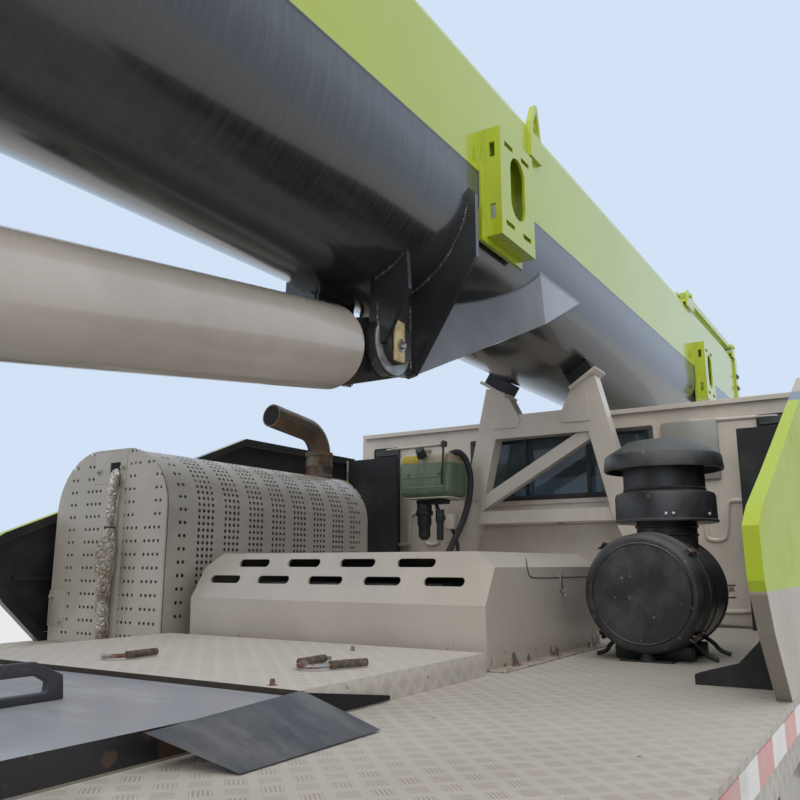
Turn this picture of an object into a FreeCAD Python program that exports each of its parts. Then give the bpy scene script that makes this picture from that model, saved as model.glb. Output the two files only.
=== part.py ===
import FreeCAD, Part
import math
import os
import re

import Sketcher
from FreeCAD import Placement, Rotation, Vector

# A three-axle truck-mounted mobile crane, parked for the road: boom lowered onto its rest over the cab,
# outriggers in, hook hanging at the boom's head. +X is forward, +Y is the machine's left, +Z is up.
# The origin is on the ground under the middle of the whole machine. All sizes are in millimetres.

SIZES = {
    # whole machine
    "half_width": 1250,
    "deck_over_tyre": 240,
    "deck_plate": 30,
    "rear_end": -6310,
    "slew_x": -3050,
    "seat_gap": 0.3,
    "run_gap": 5,
    "pin_gap": 0.08,
    # main frame
    "frame_half": 440,
    "frame_depth": 490,
    "frame_front": 1100,
    "rail_front": 4060,
    "rail_top": 950,
    "rail_bottom": 700,
    "rail_web": 70,
    "ring_radius": 640,
    "ring_height": 105,
    "ring_box_half": 700,
    "ring_box_depth": 140,
    # axles and wheels
    "front_axle_x": 1960,
    "rear_axle_x": -2440,
    "bogie_spacing": 1350,
    "axle_height": 540,
    "tyre_radius": 540,
    "tyre_width": 285,
    "bead_radius": 262,
    "front_track_half": 1037,
    "twin_middle": 917,
    "twin_spacing": 330,
    "kingpin_y": 820,
    "hub_radius": 150,
    "disc_thickness": 24,
    # outriggers
    "front_outrigger_x": -900,
    "rear_outrigger_x": -5990,
    "beam_width": 220,
    "beam_height": 250,
    "beam_drop": 430,
    "beam_wall": 25,
    "beam_reach": 2290,
    "box_wall": 20,
    "jack_y": 1090,
    "jack_radius": 85,
    "jack_bottom": 640,
    "leg_radius": 60,
    "pad_radius": 155,
    "pad_thickness": 50,
    "pad_bottom": 470,
    # cab
    "cab_rear": 2110,
    "cab_front": 4250,
    "cab_half": 1210,
    "cab_roof": 2340,
    "cab_floor": 660,
    "cab_wall": 50,
    "sill_height": 1330,
    "arch_front": 2660,
    "screen_top_x": 3960,
    "screen_foot": 1500,
    "door_rear": 2760,
    "door_front": 3760,
    "door_foot": 800,
    "door_head": 2200,
    "glass_thickness": 6,
    "rear_window_half": 480,
    "rear_window_low": 1920,
    "rear_window_high": 2240,
    # boom
    "boom_foot_x": -4250,
    "boom_foot_rise": 210,
    "boom_tail": 350,
    "boom_width": 730,
    "boom_height": 875,
    "boom_over_deck": 1140,
    "boom_wall": 10,
    "boom_step": 32,
    "boom_front": 5400,
    "collar_depth": 95,
    "collar_gap": 6,
    "lift_pin_x": 340,
    "lift_pin_drop": 180,
    "lift_pin_radius": 48,
    "lift_lug": 30,
    "lift_eye_half": 100,
    "lift_foot_x": -2800,
    "lift_foot_rise": 460,
    "barrel_radius": 135,
    "rod_radius": 92,
    "head_front": 6120,
    "head_sheave_drop": 100,
    "sheave_radius": 190,
    # superstructure
    "table_rise": 80,
    "table_plate": 40,
    "cheek_in": 392,
    "cheek_plate": 36,
    "tail_radius": 3050,
    "winch_x": -5080,
    "winch_rise": 500,
    "operator_rear": -3650,
    "operator_front": -2050,
    "operator_in": 470,
    "operator_out": 1195,
    "operator_height": 1520,
    "operator_wall": 40,
    # what stands on the deck
    "hood_rear": 170,
    "hood_length": 880,
    "hood_half": 535,
    "hood_height": 305,
    "hood_fold": 164,
    "hood_sheet": 6,
    "slot_length": 127,
    "slot_height": 24,
    "platform_rear": -610,
    "platform_rise": 55,
    "muffler_rear": 110,
    "muffler_length": 1180,
    "muffler_in": 610,
    "muffler_width": 575,
    "muffler_height": 668,
    "cleaner_x": 590,
    "cleaner_length": 400,
    "cleaner_y": -815,
    "cleaner_radius": 175,
    "rest_x": 1930,
    "rest_tube": 80,
    "rest_pad": 60,
    "fairing_rear": 130,
    "fairing_height": 873,
    "fairing_thickness": 30,
    "bracket_rear": 567,
    "bracket_length": 283,
    "bracket_reach": 430,
    "wing_plate": 20,
}

doc = FreeCAD.newDocument("mobile_crane")
sheet = doc.addObject("Spreadsheet::Sheet", "dims")
for row, (alias, number) in enumerate(SIZES.items(), start=1):
    sheet.set("A%d" % row, alias)
    sheet.set("B%d" % row, str(number))
    sheet.setAlias("B%d" % row, alias)
doc.recompute()


class Size:
    """A length that is both a number and the sheet expression it comes from."""

    def __init__(self, number, text):
        self.number = float(number)
        self.text = text

    def __float__(self):
        return self.number

    def join(self, other, sign, swap=False):
        other = as_size(other)
        first, second = (other, self) if swap else (self, other)
        if sign == "+":
            number = first.number + second.number
        elif sign == "-":
            number = first.number - second.number
        elif sign == "*":
            number = first.number * second.number
        else:
            number = first.number / second.number
        return Size(number, "(%s %s %s)" % (first.text, sign, second.text))

    def __add__(self, other):
        return self.join(other, "+")

    def __radd__(self, other):
        return self.join(other, "+", True)

    def __sub__(self, other):
        return self.join(other, "-")

    def __rsub__(self, other):
        return self.join(other, "-", True)

    def __mul__(self, other):
        return self.join(other, "*")

    def __rmul__(self, other):
        return self.join(other, "*", True)

    def __truediv__(self, other):
        return self.join(other, "/")

    def __neg__(self):
        return Size(-self.number, "(0 - %s)" % self.text)


def as_size(value):
    """A plain number becomes a Size with itself as its text."""
    if isinstance(value, Size):
        return value
    return Size(value, "(%.6f)" % value)


class Named:
    """Every cell of the sheet, by its alias."""

    def __init__(self):
        for alias in SIZES:
            setattr(self, alias, Size(float(sheet.get(alias)), "dims." + alias))


s = Named()
# heights that follow from those above
s.deck_height = s.axle_height + s.tyre_radius + s.deck_over_tyre
s.frame_top = s.deck_height - s.deck_plate
s.frame_bottom = s.frame_top - s.frame_depth
s.beam_bottom = s.frame_top - s.beam_drop
s.jack_top = s.frame_top - s.run_gap
s.table_bottom = s.deck_height + s.table_rise
s.boom_bottom = s.deck_height + s.boom_over_deck
s.boom_foot_z = s.boom_bottom + s.boom_foot_rise
s.lift_pin_z = s.boom_bottom - s.lift_pin_drop
s.lift_foot_z = s.table_bottom + s.lift_foot_rise
s.head_sheave_z = s.boom_bottom - s.head_sheave_drop
s.winch_z = s.table_bottom + s.winch_rise
s.operator_floor = s.table_bottom + s.table_plate
s.operator_roof = s.operator_floor + s.operator_height
NODES = []


def fresh(name):
    """A document name made of the plain words of a label."""
    return re.sub(r"\W", "_", name)


def place(feature, x, y, z, turn=None):
    """Puts a feature at a point whose coordinates are bound to the sheet."""
    if turn is not None:
        feature.Placement = Placement(Vector(0, 0, 0), turn)
    for axis, value in zip("xyz", (x, y, z)):
        feature.setExpression("Placement.Base." + axis, as_size(value).text)


def block(name, x, y, z):
    """A box between two sizes along each axis."""
    (x0, x1), (y0, y1), (z0, z1) = x, y, z
    box = doc.addObject("Part::Box", fresh(name))
    box.setExpression("Length", (as_size(x1) - x0).text)
    box.setExpression("Width", (as_size(y1) - y0).text)
    box.setExpression("Height", (as_size(z1) - z0).text)
    place(box, x0, y0, z0)
    return box


TURNS = {
    "x": Rotation(Vector(0, 1, 0), 90),
    "y": Rotation(Vector(1, 0, 0), -90),
    "z": Rotation(),
}


def round_bar(name, axis, centre, radius, start, end):
    """A cylinder along x, y or z; centre gives the other two coordinates in x, y, z order."""
    bar = doc.addObject("Part::Cylinder", fresh(name))
    bar.setExpression("Radius", as_size(radius).text)
    bar.setExpression("Height", (as_size(end) - start).text)
    a, b = centre
    point = {"x": (start, a, b), "y": (a, start, b), "z": (a, b, start)}[axis]
    place(bar, *point, turn=TURNS[axis])
    return bar


PLANES = {
    "xy": (Rotation(), Vector(0, 0, 1), 2),
    "xz": (Rotation(Vector(1, 0, 0), 90), Vector(0, 1, 0), 1),
    "yz": (Rotation(Vector(1, 1, 1), 120), Vector(1, 0, 0), 0),
}


def outline(sketch, corners):
    """A closed outline of straight edges whose corners are held at their sheet sizes."""
    points = [Vector(float(as_size(u)), float(as_size(v)), 0) for u, v in corners]
    count = len(points)
    for i in range(count):
        sketch.addGeometry(Part.LineSegment(points[i], points[(i + 1) % count]), False)
    for i in range(count):
        sketch.addConstraint(Sketcher.Constraint("Coincident", i, 2, (i + 1) % count, 1))
    for i, (u, v) in enumerate(corners):
        for kind, value in (("DistanceX", as_size(u)), ("DistanceY", as_size(v))):
            number = value.number
            index = sketch.addConstraint(Sketcher.Constraint(kind, -1, 1, i, 1, number))
            if "dims." in value.text:
                sketch.setExpression("Constraints[%d]" % index, value.text)


def prism(name, plane, corners, start, end):
    """A straight prism: its outline lies in a plane and runs from start to end across it."""
    turn, direction, axis = PLANES[plane]
    sketch = doc.addObject("Sketcher::SketchObject", fresh(name) + "_outline")
    sketch.Placement = Placement(Vector(0, 0, 0), turn)
    sketch.setExpression("Placement.Base." + "xyz"[axis], as_size(start).text)
    outline(sketch, corners)
    body = doc.addObject("Part::Extrusion", fresh(name))
    body.Base = sketch
    body.DirMode = "Custom"
    body.Dir = direction
    body.Solid = True
    body.setExpression("LengthFwd", (as_size(end) - start).text)
    return body


def revolved(name, axis, centre, corners):
    """A turned piece: corners are (radius, distance along the axis) pairs, turned a full circle."""
    body = doc.addObject("PartDesign::Body", fresh(name))
    plane = [f for f in body.Origin.OriginFeatures if f.Role == "XZ_Plane"][0]
    line = [f for f in body.Origin.OriginFeatures if f.Role == "Z_Axis"][0]
    sketch = body.newObject("Sketcher::SketchObject", fresh(name) + "_profile")
    sketch.AttachmentSupport = (plane, [""])
    sketch.MapMode = "FlatFace"
    outline(sketch, corners)
    turn = body.newObject("PartDesign::Revolution", fresh(name) + "_turn")
    turn.Profile = sketch
    turn.ReferenceAxis = (line, [""])
    turn.Angle = 360
    body.Tip = turn
    place(body, *centre, turn=TURNS[axis])
    return body


def fuse(name, pieces):
    if len(pieces) == 1:
        return pieces[0]
    whole = doc.addObject("Part::MultiFuse", fresh(name))
    whole.Shapes = pieces
    return whole


def cut(name, base, tools):
    """base with every tool taken away."""
    tool = tools[0] if len(tools) == 1 else fuse(name + "_tools", tools)
    piece = doc.addObject("Part::Cut", fresh(name))
    piece.Base = base
    piece.Tool = tool
    return piece


def group(name, pieces):
    """Like pieces that don't touch, kept as separate solids of one node."""
    together = doc.addObject("Part::Compound", fresh(name))
    together.Links = pieces
    return together


def made(name, shape):
    """A piece whose shape is worked out here from the sheet's sizes."""
    feature = doc.addObject("Part::Feature", fresh(name))
    feature.Shape = shape
    return feature


def mirrored(name, piece):
    """The same piece on the other side of the machine."""
    twin = doc.addObject("Part::Mirroring", fresh(name))
    twin.Source = piece
    twin.Normal = Vector(0, 1, 0)
    twin.Base = Vector(0, 0, 0)
    return twin


def node(label, feature):
    """Marks the finished feature of a sub-part; its label names its file."""
    feature.Label = label
    NODES.append(feature)
    return feature


def sloped_box(name, size, centre, axis, degrees):
    """A box of the given x, y, z size, turned about an axis through its centre."""
    length, width, height = (float(as_size(v)) for v in size)
    box = Part.makeBox(length, width, height, Vector(-length / 2, -width / 2, -height / 2))
    box.rotate(Vector(0, 0, 0), Vector(*axis), degrees)
    box.translate(Vector(*(float(as_size(v)) for v in centre)))
    return made(name, box)


def bar_between(name, start, end, width, height):
    """A square tube between two points, its height as near upright as it can stand."""
    p, q = (Vector(*(float(as_size(v)) for v in point)) for point in (start, end))
    along = q - p
    across = along.cross(Vector(1, 0, 0)) if abs(along.x) < 0.9 * along.Length else Vector(0, 1, 0)
    across.normalize()
    other = along.cross(across)
    other.normalize()
    w, d = float(as_size(width)) / 2, float(as_size(height)) / 2
    corners = [p + across * a * w + other * b * d for a, b in ((-1, -1), (1, -1), (1, 1), (-1, 1))]
    face = Part.Face(Part.makePolygon(corners + corners[:1]))
    return made(name, face.extrude(along))


def pipe(name, points, radius, bend):
    """A round pipe along straight runs joined by arcs of one bend radius."""
    points = [Vector(*(float(as_size(v)) for v in point)) for point in points]
    radius, bend = float(as_size(radius)), float(as_size(bend))
    edges, last = [], points[0]
    for before, corner, after in zip(points, points[1:], points[2:]):
        back, ahead = before - corner, after - corner
        back.normalize()
        ahead.normalize()
        half = back.getAngle(ahead) / 2
        reach = bend / math.tan(half)
        middle = back + ahead
        middle.normalize()
        nearest = corner + middle * (bend / math.sin(half) - bend)
        first, second = corner + back * reach, corner + ahead * reach
        edges += [Part.LineSegment(last, first).toShape(), Part.Arc(first, nearest, second).toShape()]
        last = second
    edges.append(Part.LineSegment(last, points[-1]).toShape())
    path = Part.Wire(edges)
    ring = Part.Wire(Part.Circle(points[0], points[1] - points[0], radius).toShape())
    return made(name, path.makePipeShell([ring], True, False))


def frame():
    """Box girder at the rear, two side members past the engine and two lower rails under the cab."""
    tunnel = outrigger_box_half()
    drop = s.arch_front - 10
    pieces = [
        block("girder", (s.rear_end + 20, 60), (-s.frame_half, s.frame_half), (s.frame_bottom, s.frame_top)),
        block("ring_box", (s.slew_x - s.ring_box_half, s.slew_x + s.ring_box_half),
              (-s.ring_box_half, s.ring_box_half), (s.frame_top - s.ring_box_depth, s.frame_top)),
        round_bar("ring", "z", (s.slew_x, 0), s.ring_radius, s.frame_top - 20, s.frame_top + s.ring_height),
        block("grey_plate", (-1900, s.platform_rear - 4), (-560, 560), (s.frame_top, s.deck_height + 45)),
        loop_handle(),
    ]
    for side in (-1, 1):
        inner, outer = side * (s.frame_half - s.rail_web), side * s.frame_half
        y = (inner, outer) if side > 0 else (outer, inner)
        pieces += [
            block("mid_rail", (0, 1400), y, (s.frame_bottom, s.frame_top)),
            block("axle_rail", (1300, drop), y, (s.rail_bottom, s.rail_top)),
            block("rail_drop", (drop - 46, drop), y, (s.cab_floor - 140, s.rail_top)),
            block("cab_rail", (drop - 46, s.rail_front), y, (s.cab_floor - 140, s.cab_floor - s.seat_gap)),
        ]
    for x, z in ((1330, 820), (drop - 70, 740), (s.rail_front - 100, s.cab_floor - 130)):
        pieces.append(block("cross_member", (x, x + 70), (-s.frame_half, s.frame_half), (z, z + 120)))
    pieces.append(block("lamp_bar", (s.rear_end + 20, s.rear_outrigger_x - tunnel + 5), (-1180, 1180),
                        (s.frame_bottom + 85, s.frame_bottom + 215)))
    box_half = s.jack_y - s.jack_radius - s.run_gap
    for x in (s.front_outrigger_x, s.rear_outrigger_x):
        pieces.append(block("outrigger_box", (x - tunnel, x + tunnel), (-box_half, box_half),
                            (s.beam_bottom - s.box_wall, s.beam_bottom + s.beam_height + s.run_gap + s.box_wall)))
    holes = []
    for x in (s.front_outrigger_x, s.rear_outrigger_x):
        for side in (-1, 1):
            middle = x + side * beam_offset()
            reach = s.beam_width / 2 + s.run_gap
            holes.append(block("beam_way", (middle - reach, middle + reach), (-1300, 1300),
                               (s.beam_bottom - s.seat_gap, s.beam_bottom + s.beam_height + s.run_gap)))
    node("chassis_frame", cut("chassis_frame", fuse("frame_pieces", pieces), holes))


def loop_handle():
    """A flat D-shaped lifting loop that lies on the steel plate ahead of the slewing ring."""
    x, y = s.platform_rear - 250, 180
    plate = block("loop_plate", (x, x + 120), (y, y + 190), (s.deck_height + 44, s.deck_height + 62))
    way = block("loop_way", (x + 28, x + 92), (y + 26, y + 150), (s.deck_height + 40, s.deck_height + 70))
    return cut("loop_handle", plate, [way])


def beam_offset():
    """From the middle of an outrigger box to the middle of either beam in it."""
    return s.beam_width / 2 + s.run_gap + s.box_wall / 2


def outrigger_box_half():
    return beam_offset() + s.beam_width / 2 + s.run_gap + s.box_wall


def outriggers():
    """Two beams lie side by side in each box and slide out to opposite sides; each ends in a jack."""
    for row, x in (("front", s.front_outrigger_x), ("rear", s.rear_outrigger_x)):
        for name, side in (("left", 1), ("right", -1)):
            label = "%s_%s" % (row, name)
            middle = x + side * beam_offset()
            tip, tail = side * s.jack_y, side * (s.jack_y - s.beam_reach)
            y = (tail, tip) if side > 0 else (tip, tail)
            beam = block("beam_" + label, (middle - s.beam_width / 2, middle + s.beam_width / 2), y,
                         (s.beam_bottom, s.beam_bottom + s.beam_height))
            tube = round_bar("jack_" + label, "z", (middle, tip), s.jack_radius, s.jack_bottom, s.jack_top)
            bore = round_bar("bore_" + label, "z", (middle, tip), s.leg_radius + s.seat_gap,
                             s.jack_bottom, s.jack_top - 20)
            node("outrigger_beam_" + label, cut("outrigger_beam_" + label,
                                                fuse("beam_body_" + label, [beam, tube]), [bore]))
            leg = round_bar("leg_" + label, "z", (middle, tip), s.leg_radius,
                            s.pad_bottom + s.pad_thickness / 2, s.jack_top - 30)
            pad = round_bar("pad_" + label, "z", (middle, tip), s.pad_radius,
                            s.pad_bottom, s.pad_bottom + s.pad_thickness)
            node("outrigger_leg_" + label, fuse("outrigger_leg_" + label, [leg, pad]))


def mudguards():
    """Folded plates over the twin wheels and flaps behind the front ones, hung under the deck."""
    under = s.deck_height - s.deck_plate
    front, back = s.rear_axle_x + s.bogie_spacing / 2 + 500, s.rear_axle_x - s.bogie_spacing / 2 - 600
    low = s.axle_height + s.tyre_radius + 60
    profile = [(front, low), (front, low + 10), (back + 160, low + 10), (back, low - 140), (back + 10, low - 147),
               (back + 166, low)]
    guard = prism("rear_guard", "xz", profile, 600, 1225)
    stays = [block("guard_stay", (x, x + 50), (s.ring_box_half + 10, 1215), (low + 5, under))
             for x in (front - 2230, front - 1170, front - 185)]
    left = fuse("rear_guard_left", [guard] + stays)
    flap = block("front_flap", (1240, 1252), (700, 1200), (700, under))
    return [left, mirrored("rear_guard_right", left), flap, mirrored("front_flap_right", flap)]


def deck():
    """Walkways of tread plate along both sides, closed across the frame behind the cab."""
    under, top = s.deck_height - s.deck_plate, s.deck_height
    edge, inner, wide = s.half_width, s.frame_half + 10, s.ring_box_half + 5
    side = [
        (s.rear_end, inner), (s.slew_x - wide - 50, inner), (s.slew_x - wide - 50, wide),
        (s.slew_x + wide + 50, wide), (s.slew_x + wide + 50, 565), (s.platform_rear, 565),
        (s.platform_rear, inner), (2060, inner), (2060, edge), (s.rear_end, edge),
    ]
    room = beam_offset() + s.jack_radius + 25
    edges = ((s.rear_end, s.rear_outrigger_x - room), (s.rear_outrigger_x + room, s.front_outrigger_x - room),
             (s.front_outrigger_x + room, 2060))
    left = [prism("walkway", "xy", side, under, top)]
    left += [block("walkway_edge", x, (edge - 18, edge), (top - 110, top)) for x in edges]
    right = [mirrored("walkway_right", piece) for piece in left]
    middle = [
        block("behind_cab", (s.hood_rear + s.hood_length, 2060), (-inner, inner), (under, top)),
        block("platform", (s.platform_rear, s.hood_rear - 60), (-560, 560), (under + 0.5, top + s.platform_rise)),
        block("platform_seam", (s.platform_rear, s.hood_rear), (-inner, inner), (under + 0.5, top)),
    ]
    node("deck", fuse("deck", left + right + middle + mudguards()))


def corner_facet(name, side, inset):
    """What the folded corner between the hood's sloped rear face and its side leaves out."""
    x0, half = float(s.hood_rear), float(s.hood_half)
    fold, z1 = float(s.deck_height + s.hood_fold), float(s.deck_height + s.hood_height)
    low, top, back = (Vector(x0 - 4, half, fold), Vector(x0 + 75, half - 62, z1), Vector(x0 + 62, half, z1 - 36))
    normal = (back - low).cross(top - low)
    normal.normalize()
    if normal.y < 0:
        normal = normal * -1
    middle = (low + top + back) * (1.0 / 3)
    face = [middle + (corner - middle) * 3 - normal * inset for corner in (low, top, back)]
    peak = middle + normal * 120
    sides = [face] + [[face[i], face[(i + 1) % 3], peak] for i in range(3)]
    faces = [Part.Face(Part.makePolygon(corners + corners[:1])) for corners in sides]
    facet = made(name, Part.makeSolid(Part.makeShell(faces)))
    return facet if side > 0 else mirrored(name + "_right", facet)


def hood():
    """A folded sheet cover over the engine; its sloped rear face has two staggered rows of slots."""
    x0, x1 = s.hood_rear, s.hood_rear + s.hood_length
    z0, z1 = s.deck_height, s.deck_height + s.hood_height
    fold, half = z0 + s.hood_fold, s.hood_half
    forms = []
    for name, w in (("outside", as_size(0)), ("inside", s.hood_sheet)):
        side = [(x0 + w, z0 - w), (x0 - 4 + w, fold), (x0 + 75 + w, z1 - w), (x1 - 20 - w, z1 - w),
                (x1 - w, z1 - 20 - w), (x1 - w, z0 - w)]
        across = [(-half + w, z0 - w), (-half + w, z1 - 43), (-half + 62 + w, z1 - w), (half - 62 - w, z1 - w),
                  (half - w, z1 - 43), (half - w, z0 - w)]
        whole = common("hood_%s_form" % name, [prism("hood_%s_side" % name, "xz", side, -half - 1, half + 1),
                                               prism("hood_%s_across" % name, "yz", across, x0 - 10, x1 + 10)])
        forms.append(cut("hood_" + name, whole, [corner_facet("facet_%s_%d" % (name, turn + 1), turn, float(w) * 1.2)
                                                 for turn in (-1, 1)]))
    tools = [forms[1]]
    slope = as_size(79) / (s.hood_height - s.hood_fold)
    # share of the sloped face's height, number of slots, distance of the first from the middle
    for share, count, first in ((0.42, 5, 417), (0.78, 4, 319)):
        z = fold + share * (s.hood_height - s.hood_fold)
        x = x0 - 4 + (z - fold) * slope
        reach = s.slot_length / 2 - s.slot_height / 2
        for at in range(count):
            y = first - 203 * at
            tools.append(block("slot_middle", (x - 20, x + 30), (y - reach, y + reach),
                               (z - s.slot_height / 2, z + s.slot_height / 2)))
            tools += [round_bar("slot_end", "x", (y + end * reach, z), s.slot_height / 2, x - 20, x + 30)
                      for end in (-1, 1)]
    node("engine_hood", cut("engine_hood", forms[0], tools))
    node("engine", block("engine", (x0 + 60, x1 - 60),
                         (-(s.frame_half - s.rail_web), s.frame_half - s.rail_web), (s.frame_bottom + 30, z1 - 90)))


def rounded_face(corners, plane_x):
    """A face across x from (y, z, radius) corners, each rounded by its radius."""
    points = [(Vector(plane_x, y, z), r) for y, z, r in corners]
    edges, ends = [], []
    count = len(points)
    for i, (corner, radius) in enumerate(points):
        before, after = points[i - 1][0] - corner, points[(i + 1) % count][0] - corner
        before.normalize()
        after.normalize()
        if radius <= 0:
            ends.append((corner, corner, None))
            continue
        half = before.getAngle(after) / 2
        reach = radius / math.tan(half)
        middle = before + after
        middle.normalize()
        nearest = corner + middle * (radius / math.sin(half) - radius)
        ends.append((corner + before * reach, corner + after * reach, nearest))
    for i, (first, second, nearest) in enumerate(ends):
        if nearest is not None:
            edges.append(Part.Arc(first, nearest, second).toShape())
        following = ends[(i + 1) % count][0]
        if second.distanceToPoint(following) > 1e-6:
            edges.append(Part.LineSegment(second, following).toShape())
    return Part.Face(Part.Wire(edges))


def muffler():
    """A drum silencer along the left edge inside a perforated guard; its outlet turns back over it."""
    y0, y1 = float(s.muffler_in), float(s.muffler_in + s.muffler_width)
    x0, long = float(s.muffler_rear), float(s.muffler_length)
    z0, z1 = float(s.deck_height), float(s.deck_height + s.muffler_height)
    wall = 6
    outer = rounded_face([(y0, z0, 0), (y1, z0, 0), (y1, z1, 215), (y0, z1, 215)], x0)
    inner = rounded_face([(y0 + wall, z0 - 1, 0), (y1 - wall, z0 - 1, 0), (y1 - wall, z1 - wall, 209),
                          (y0 + wall, z1 - wall, 209)], x0 + wall)
    guard = outer.extrude(Vector(long, 0, 0)).cut(inner.extrude(Vector(long - 2 * wall, 0, 0)))
    middle = (y0 + y1) / 2
    outlet_x, outlet_y = x0 + long - 70, middle - 57
    hole = Part.makeCylinder(62, 90, Vector(outlet_x, outlet_y, z1 - 70))
    node("muffler_guard", made("muffler_guard", guard.cut(hole)))
    drum = round_bar("silencer", "x", (middle, z0 + 330), 200, x0 + 90, x0 + long - 20)
    saddles = [block("silencer_foot", (x0 + at, x0 + at + 40), (middle - 120, middle + 120), (z0, z0 + 220))
               for at in (230, 850)]
    stack = pipe("outlet", [(outlet_x, outlet_y, z0 + 400), (outlet_x, outlet_y, z1 + 205),
                            (outlet_x - 323, outlet_y + 20, z1 + 250)], 52, 110)
    collar = round_bar("outlet_clamp", "z", (outlet_x, outlet_y), 57, z1 + 8, z1 + 110)
    node("exhaust_pipe", fuse("exhaust_pipe", [drum, stack, collar] + saddles))


def cleaner():
    """A round air cleaner lying along the deck with a two-tier rain cap standing on it."""
    radius, x0 = s.cleaner_radius, s.cleaner_x
    z = s.deck_height + radius + 14
    can = revolved("can", "x", (x0, s.cleaner_y, z), [
        (0, 0), (radius - 24, 0), (radius - 5, 14), (radius - 5, 90), (radius, 94), (radius, 112),
        (radius - 8, 116), (radius - 8, s.cleaner_length - 60), (radius - 30, s.cleaner_length), (0, s.cleaner_length)])
    base = z + radius - 30
    tower = revolved("rain_cap", "z", (x0 + 260, s.cleaner_y - 20, base), [
        (0, 0), (92, 0), (92, 65), (152, 65), (160, 75), (160, 165), (122, 180), (122, 248),
        (182, 232), (188, 240), (182, 300), (128, 342), (0, 352)])
    feet = []
    for at in (130, 300):
        feet.append(block("cleaner_foot", (x0 + at, x0 + at + 40), (s.cleaner_y - 110, s.cleaner_y + 110),
                          (s.deck_height, z - radius + 60)))
    node("air_cleaner", fuse("air_cleaner", [can, tower] + feet))


def boom_rest():
    """A welded trestle behind the cab; two rubber pads take the round underside of the boom."""
    x, half = s.rest_x, s.rest_tube / 2
    deck_top = s.deck_height
    centre_z = boom_axis_z()
    pieces = []
    tilt = 33
    across, up = math.sin(math.radians(tilt)), math.cos(math.radians(tilt))
    pad_radius = s.boom_width / 2 + s.seat_gap
    pad_mid = pad_radius + s.rest_pad / 2
    seat_mid = pad_radius + s.rest_pad + 6
    head_y, head_z = seat_mid * across, centre_z - seat_mid * up
    knee_y, knee_z = 390, deck_top + 500
    for side in (-1, 1):
        pieces += [
            sloped_box("rest_block", (120, 130, s.rest_pad), (x, side * pad_mid * across, centre_z - pad_mid * up),
                       (1, 0, 0), side * tilt),
            sloped_box("pad_seat", (150, 160, 14), (x, side * head_y, head_z), (1, 0, 0), side * tilt),
            bar_between("rest_leg", (x, side * knee_y, knee_z), (x, side * head_y, head_z), 105, s.rest_tube),
            bar_between("rest_foot", (x, side * 600, deck_top - 1), (x, side * (knee_y - 12), knee_z + 35), 105,
                        s.rest_tube),
            block("foot_plate", (x - 70, x + 70), (side * 600 - 80, side * 600 + 80), (deck_top, deck_top + 12)),
        ]
    gusset = [(head_y - 50, head_z - 2), (103, deck_top + 975), (122, deck_top + 940), (head_y + 20, deck_top + 940),
              (head_y, head_z - 2)]
    for at in (-half - 6, half - 6):
        plate = prism("rest_gusset", "yz", gusset, x + at, x + at + 12)
        pieces += [plate, mirrored("rest_gusset_right", plate)]
    pieces.append(block("rest_cross", (x - half, x + half), (-300, 300), (deck_top + 890, deck_top + 1005)))
    pieces.append(block("rest_strut", (x - 30, x + 30), (-390, 390), (deck_top + 470, deck_top + 530)))
    pieces.append(bar_between("rest_brace", (x, 350, deck_top + 560), (x, -262, deck_top + 900), 60, 50))
    whole = fuse("rest_pieces", pieces)
    room = round_bar("boom_room", "x", (0, centre_z), pad_radius, x - 200, x + 200)
    below = block("below_deck", (x - 300, x + 300), (-900, 900), (deck_top - 200, deck_top))
    node("boom_rest", cut("boom_rest", whole, [room, below]))


def coolant_tank():
    """A translucent header tank on a bracket at the trestle's left leg, with the coolant filter below it."""
    x1 = s.rest_x - s.rest_tube / 2
    low, high = s.deck_height + 600, s.deck_height + 820
    tank = prism("tank", "yz", [
        (430, low), (658, low), (684, low + 11), (695, low + 37), (695, high - 37), (684, high - 11), (658, high),
        (430, high), (404, high - 11), (393, high - 37), (393, low + 37), (404, low + 11)], x1 - 210, x1 - 10)
    seam = block("tank_seam", (x1 - 214, x1 - 6), (389, 699), (low + 92, low + 104))
    cap = round_bar("tank_cap", "z", (x1 - 150, 560), 34, high - 5, high + 34)
    bracket = block("tank_bracket", (x1 - 10, x1), (330, 660), (low - 30, high - 40))
    shelf = block("tank_shelf", (x1 - 190, x1), (410, 660), (low - 12, low))
    separator = round_bar("separator", "z", (x1 - 120, 590), 42, low - 190, low)
    bowl = round_bar("separator_bowl", "z", (x1 - 120, 590), 30, low - 250, low - 185)
    node("coolant_tank", fuse("coolant_tank", [tank, seam, cap, bracket, shelf, separator, bowl]))


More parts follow.
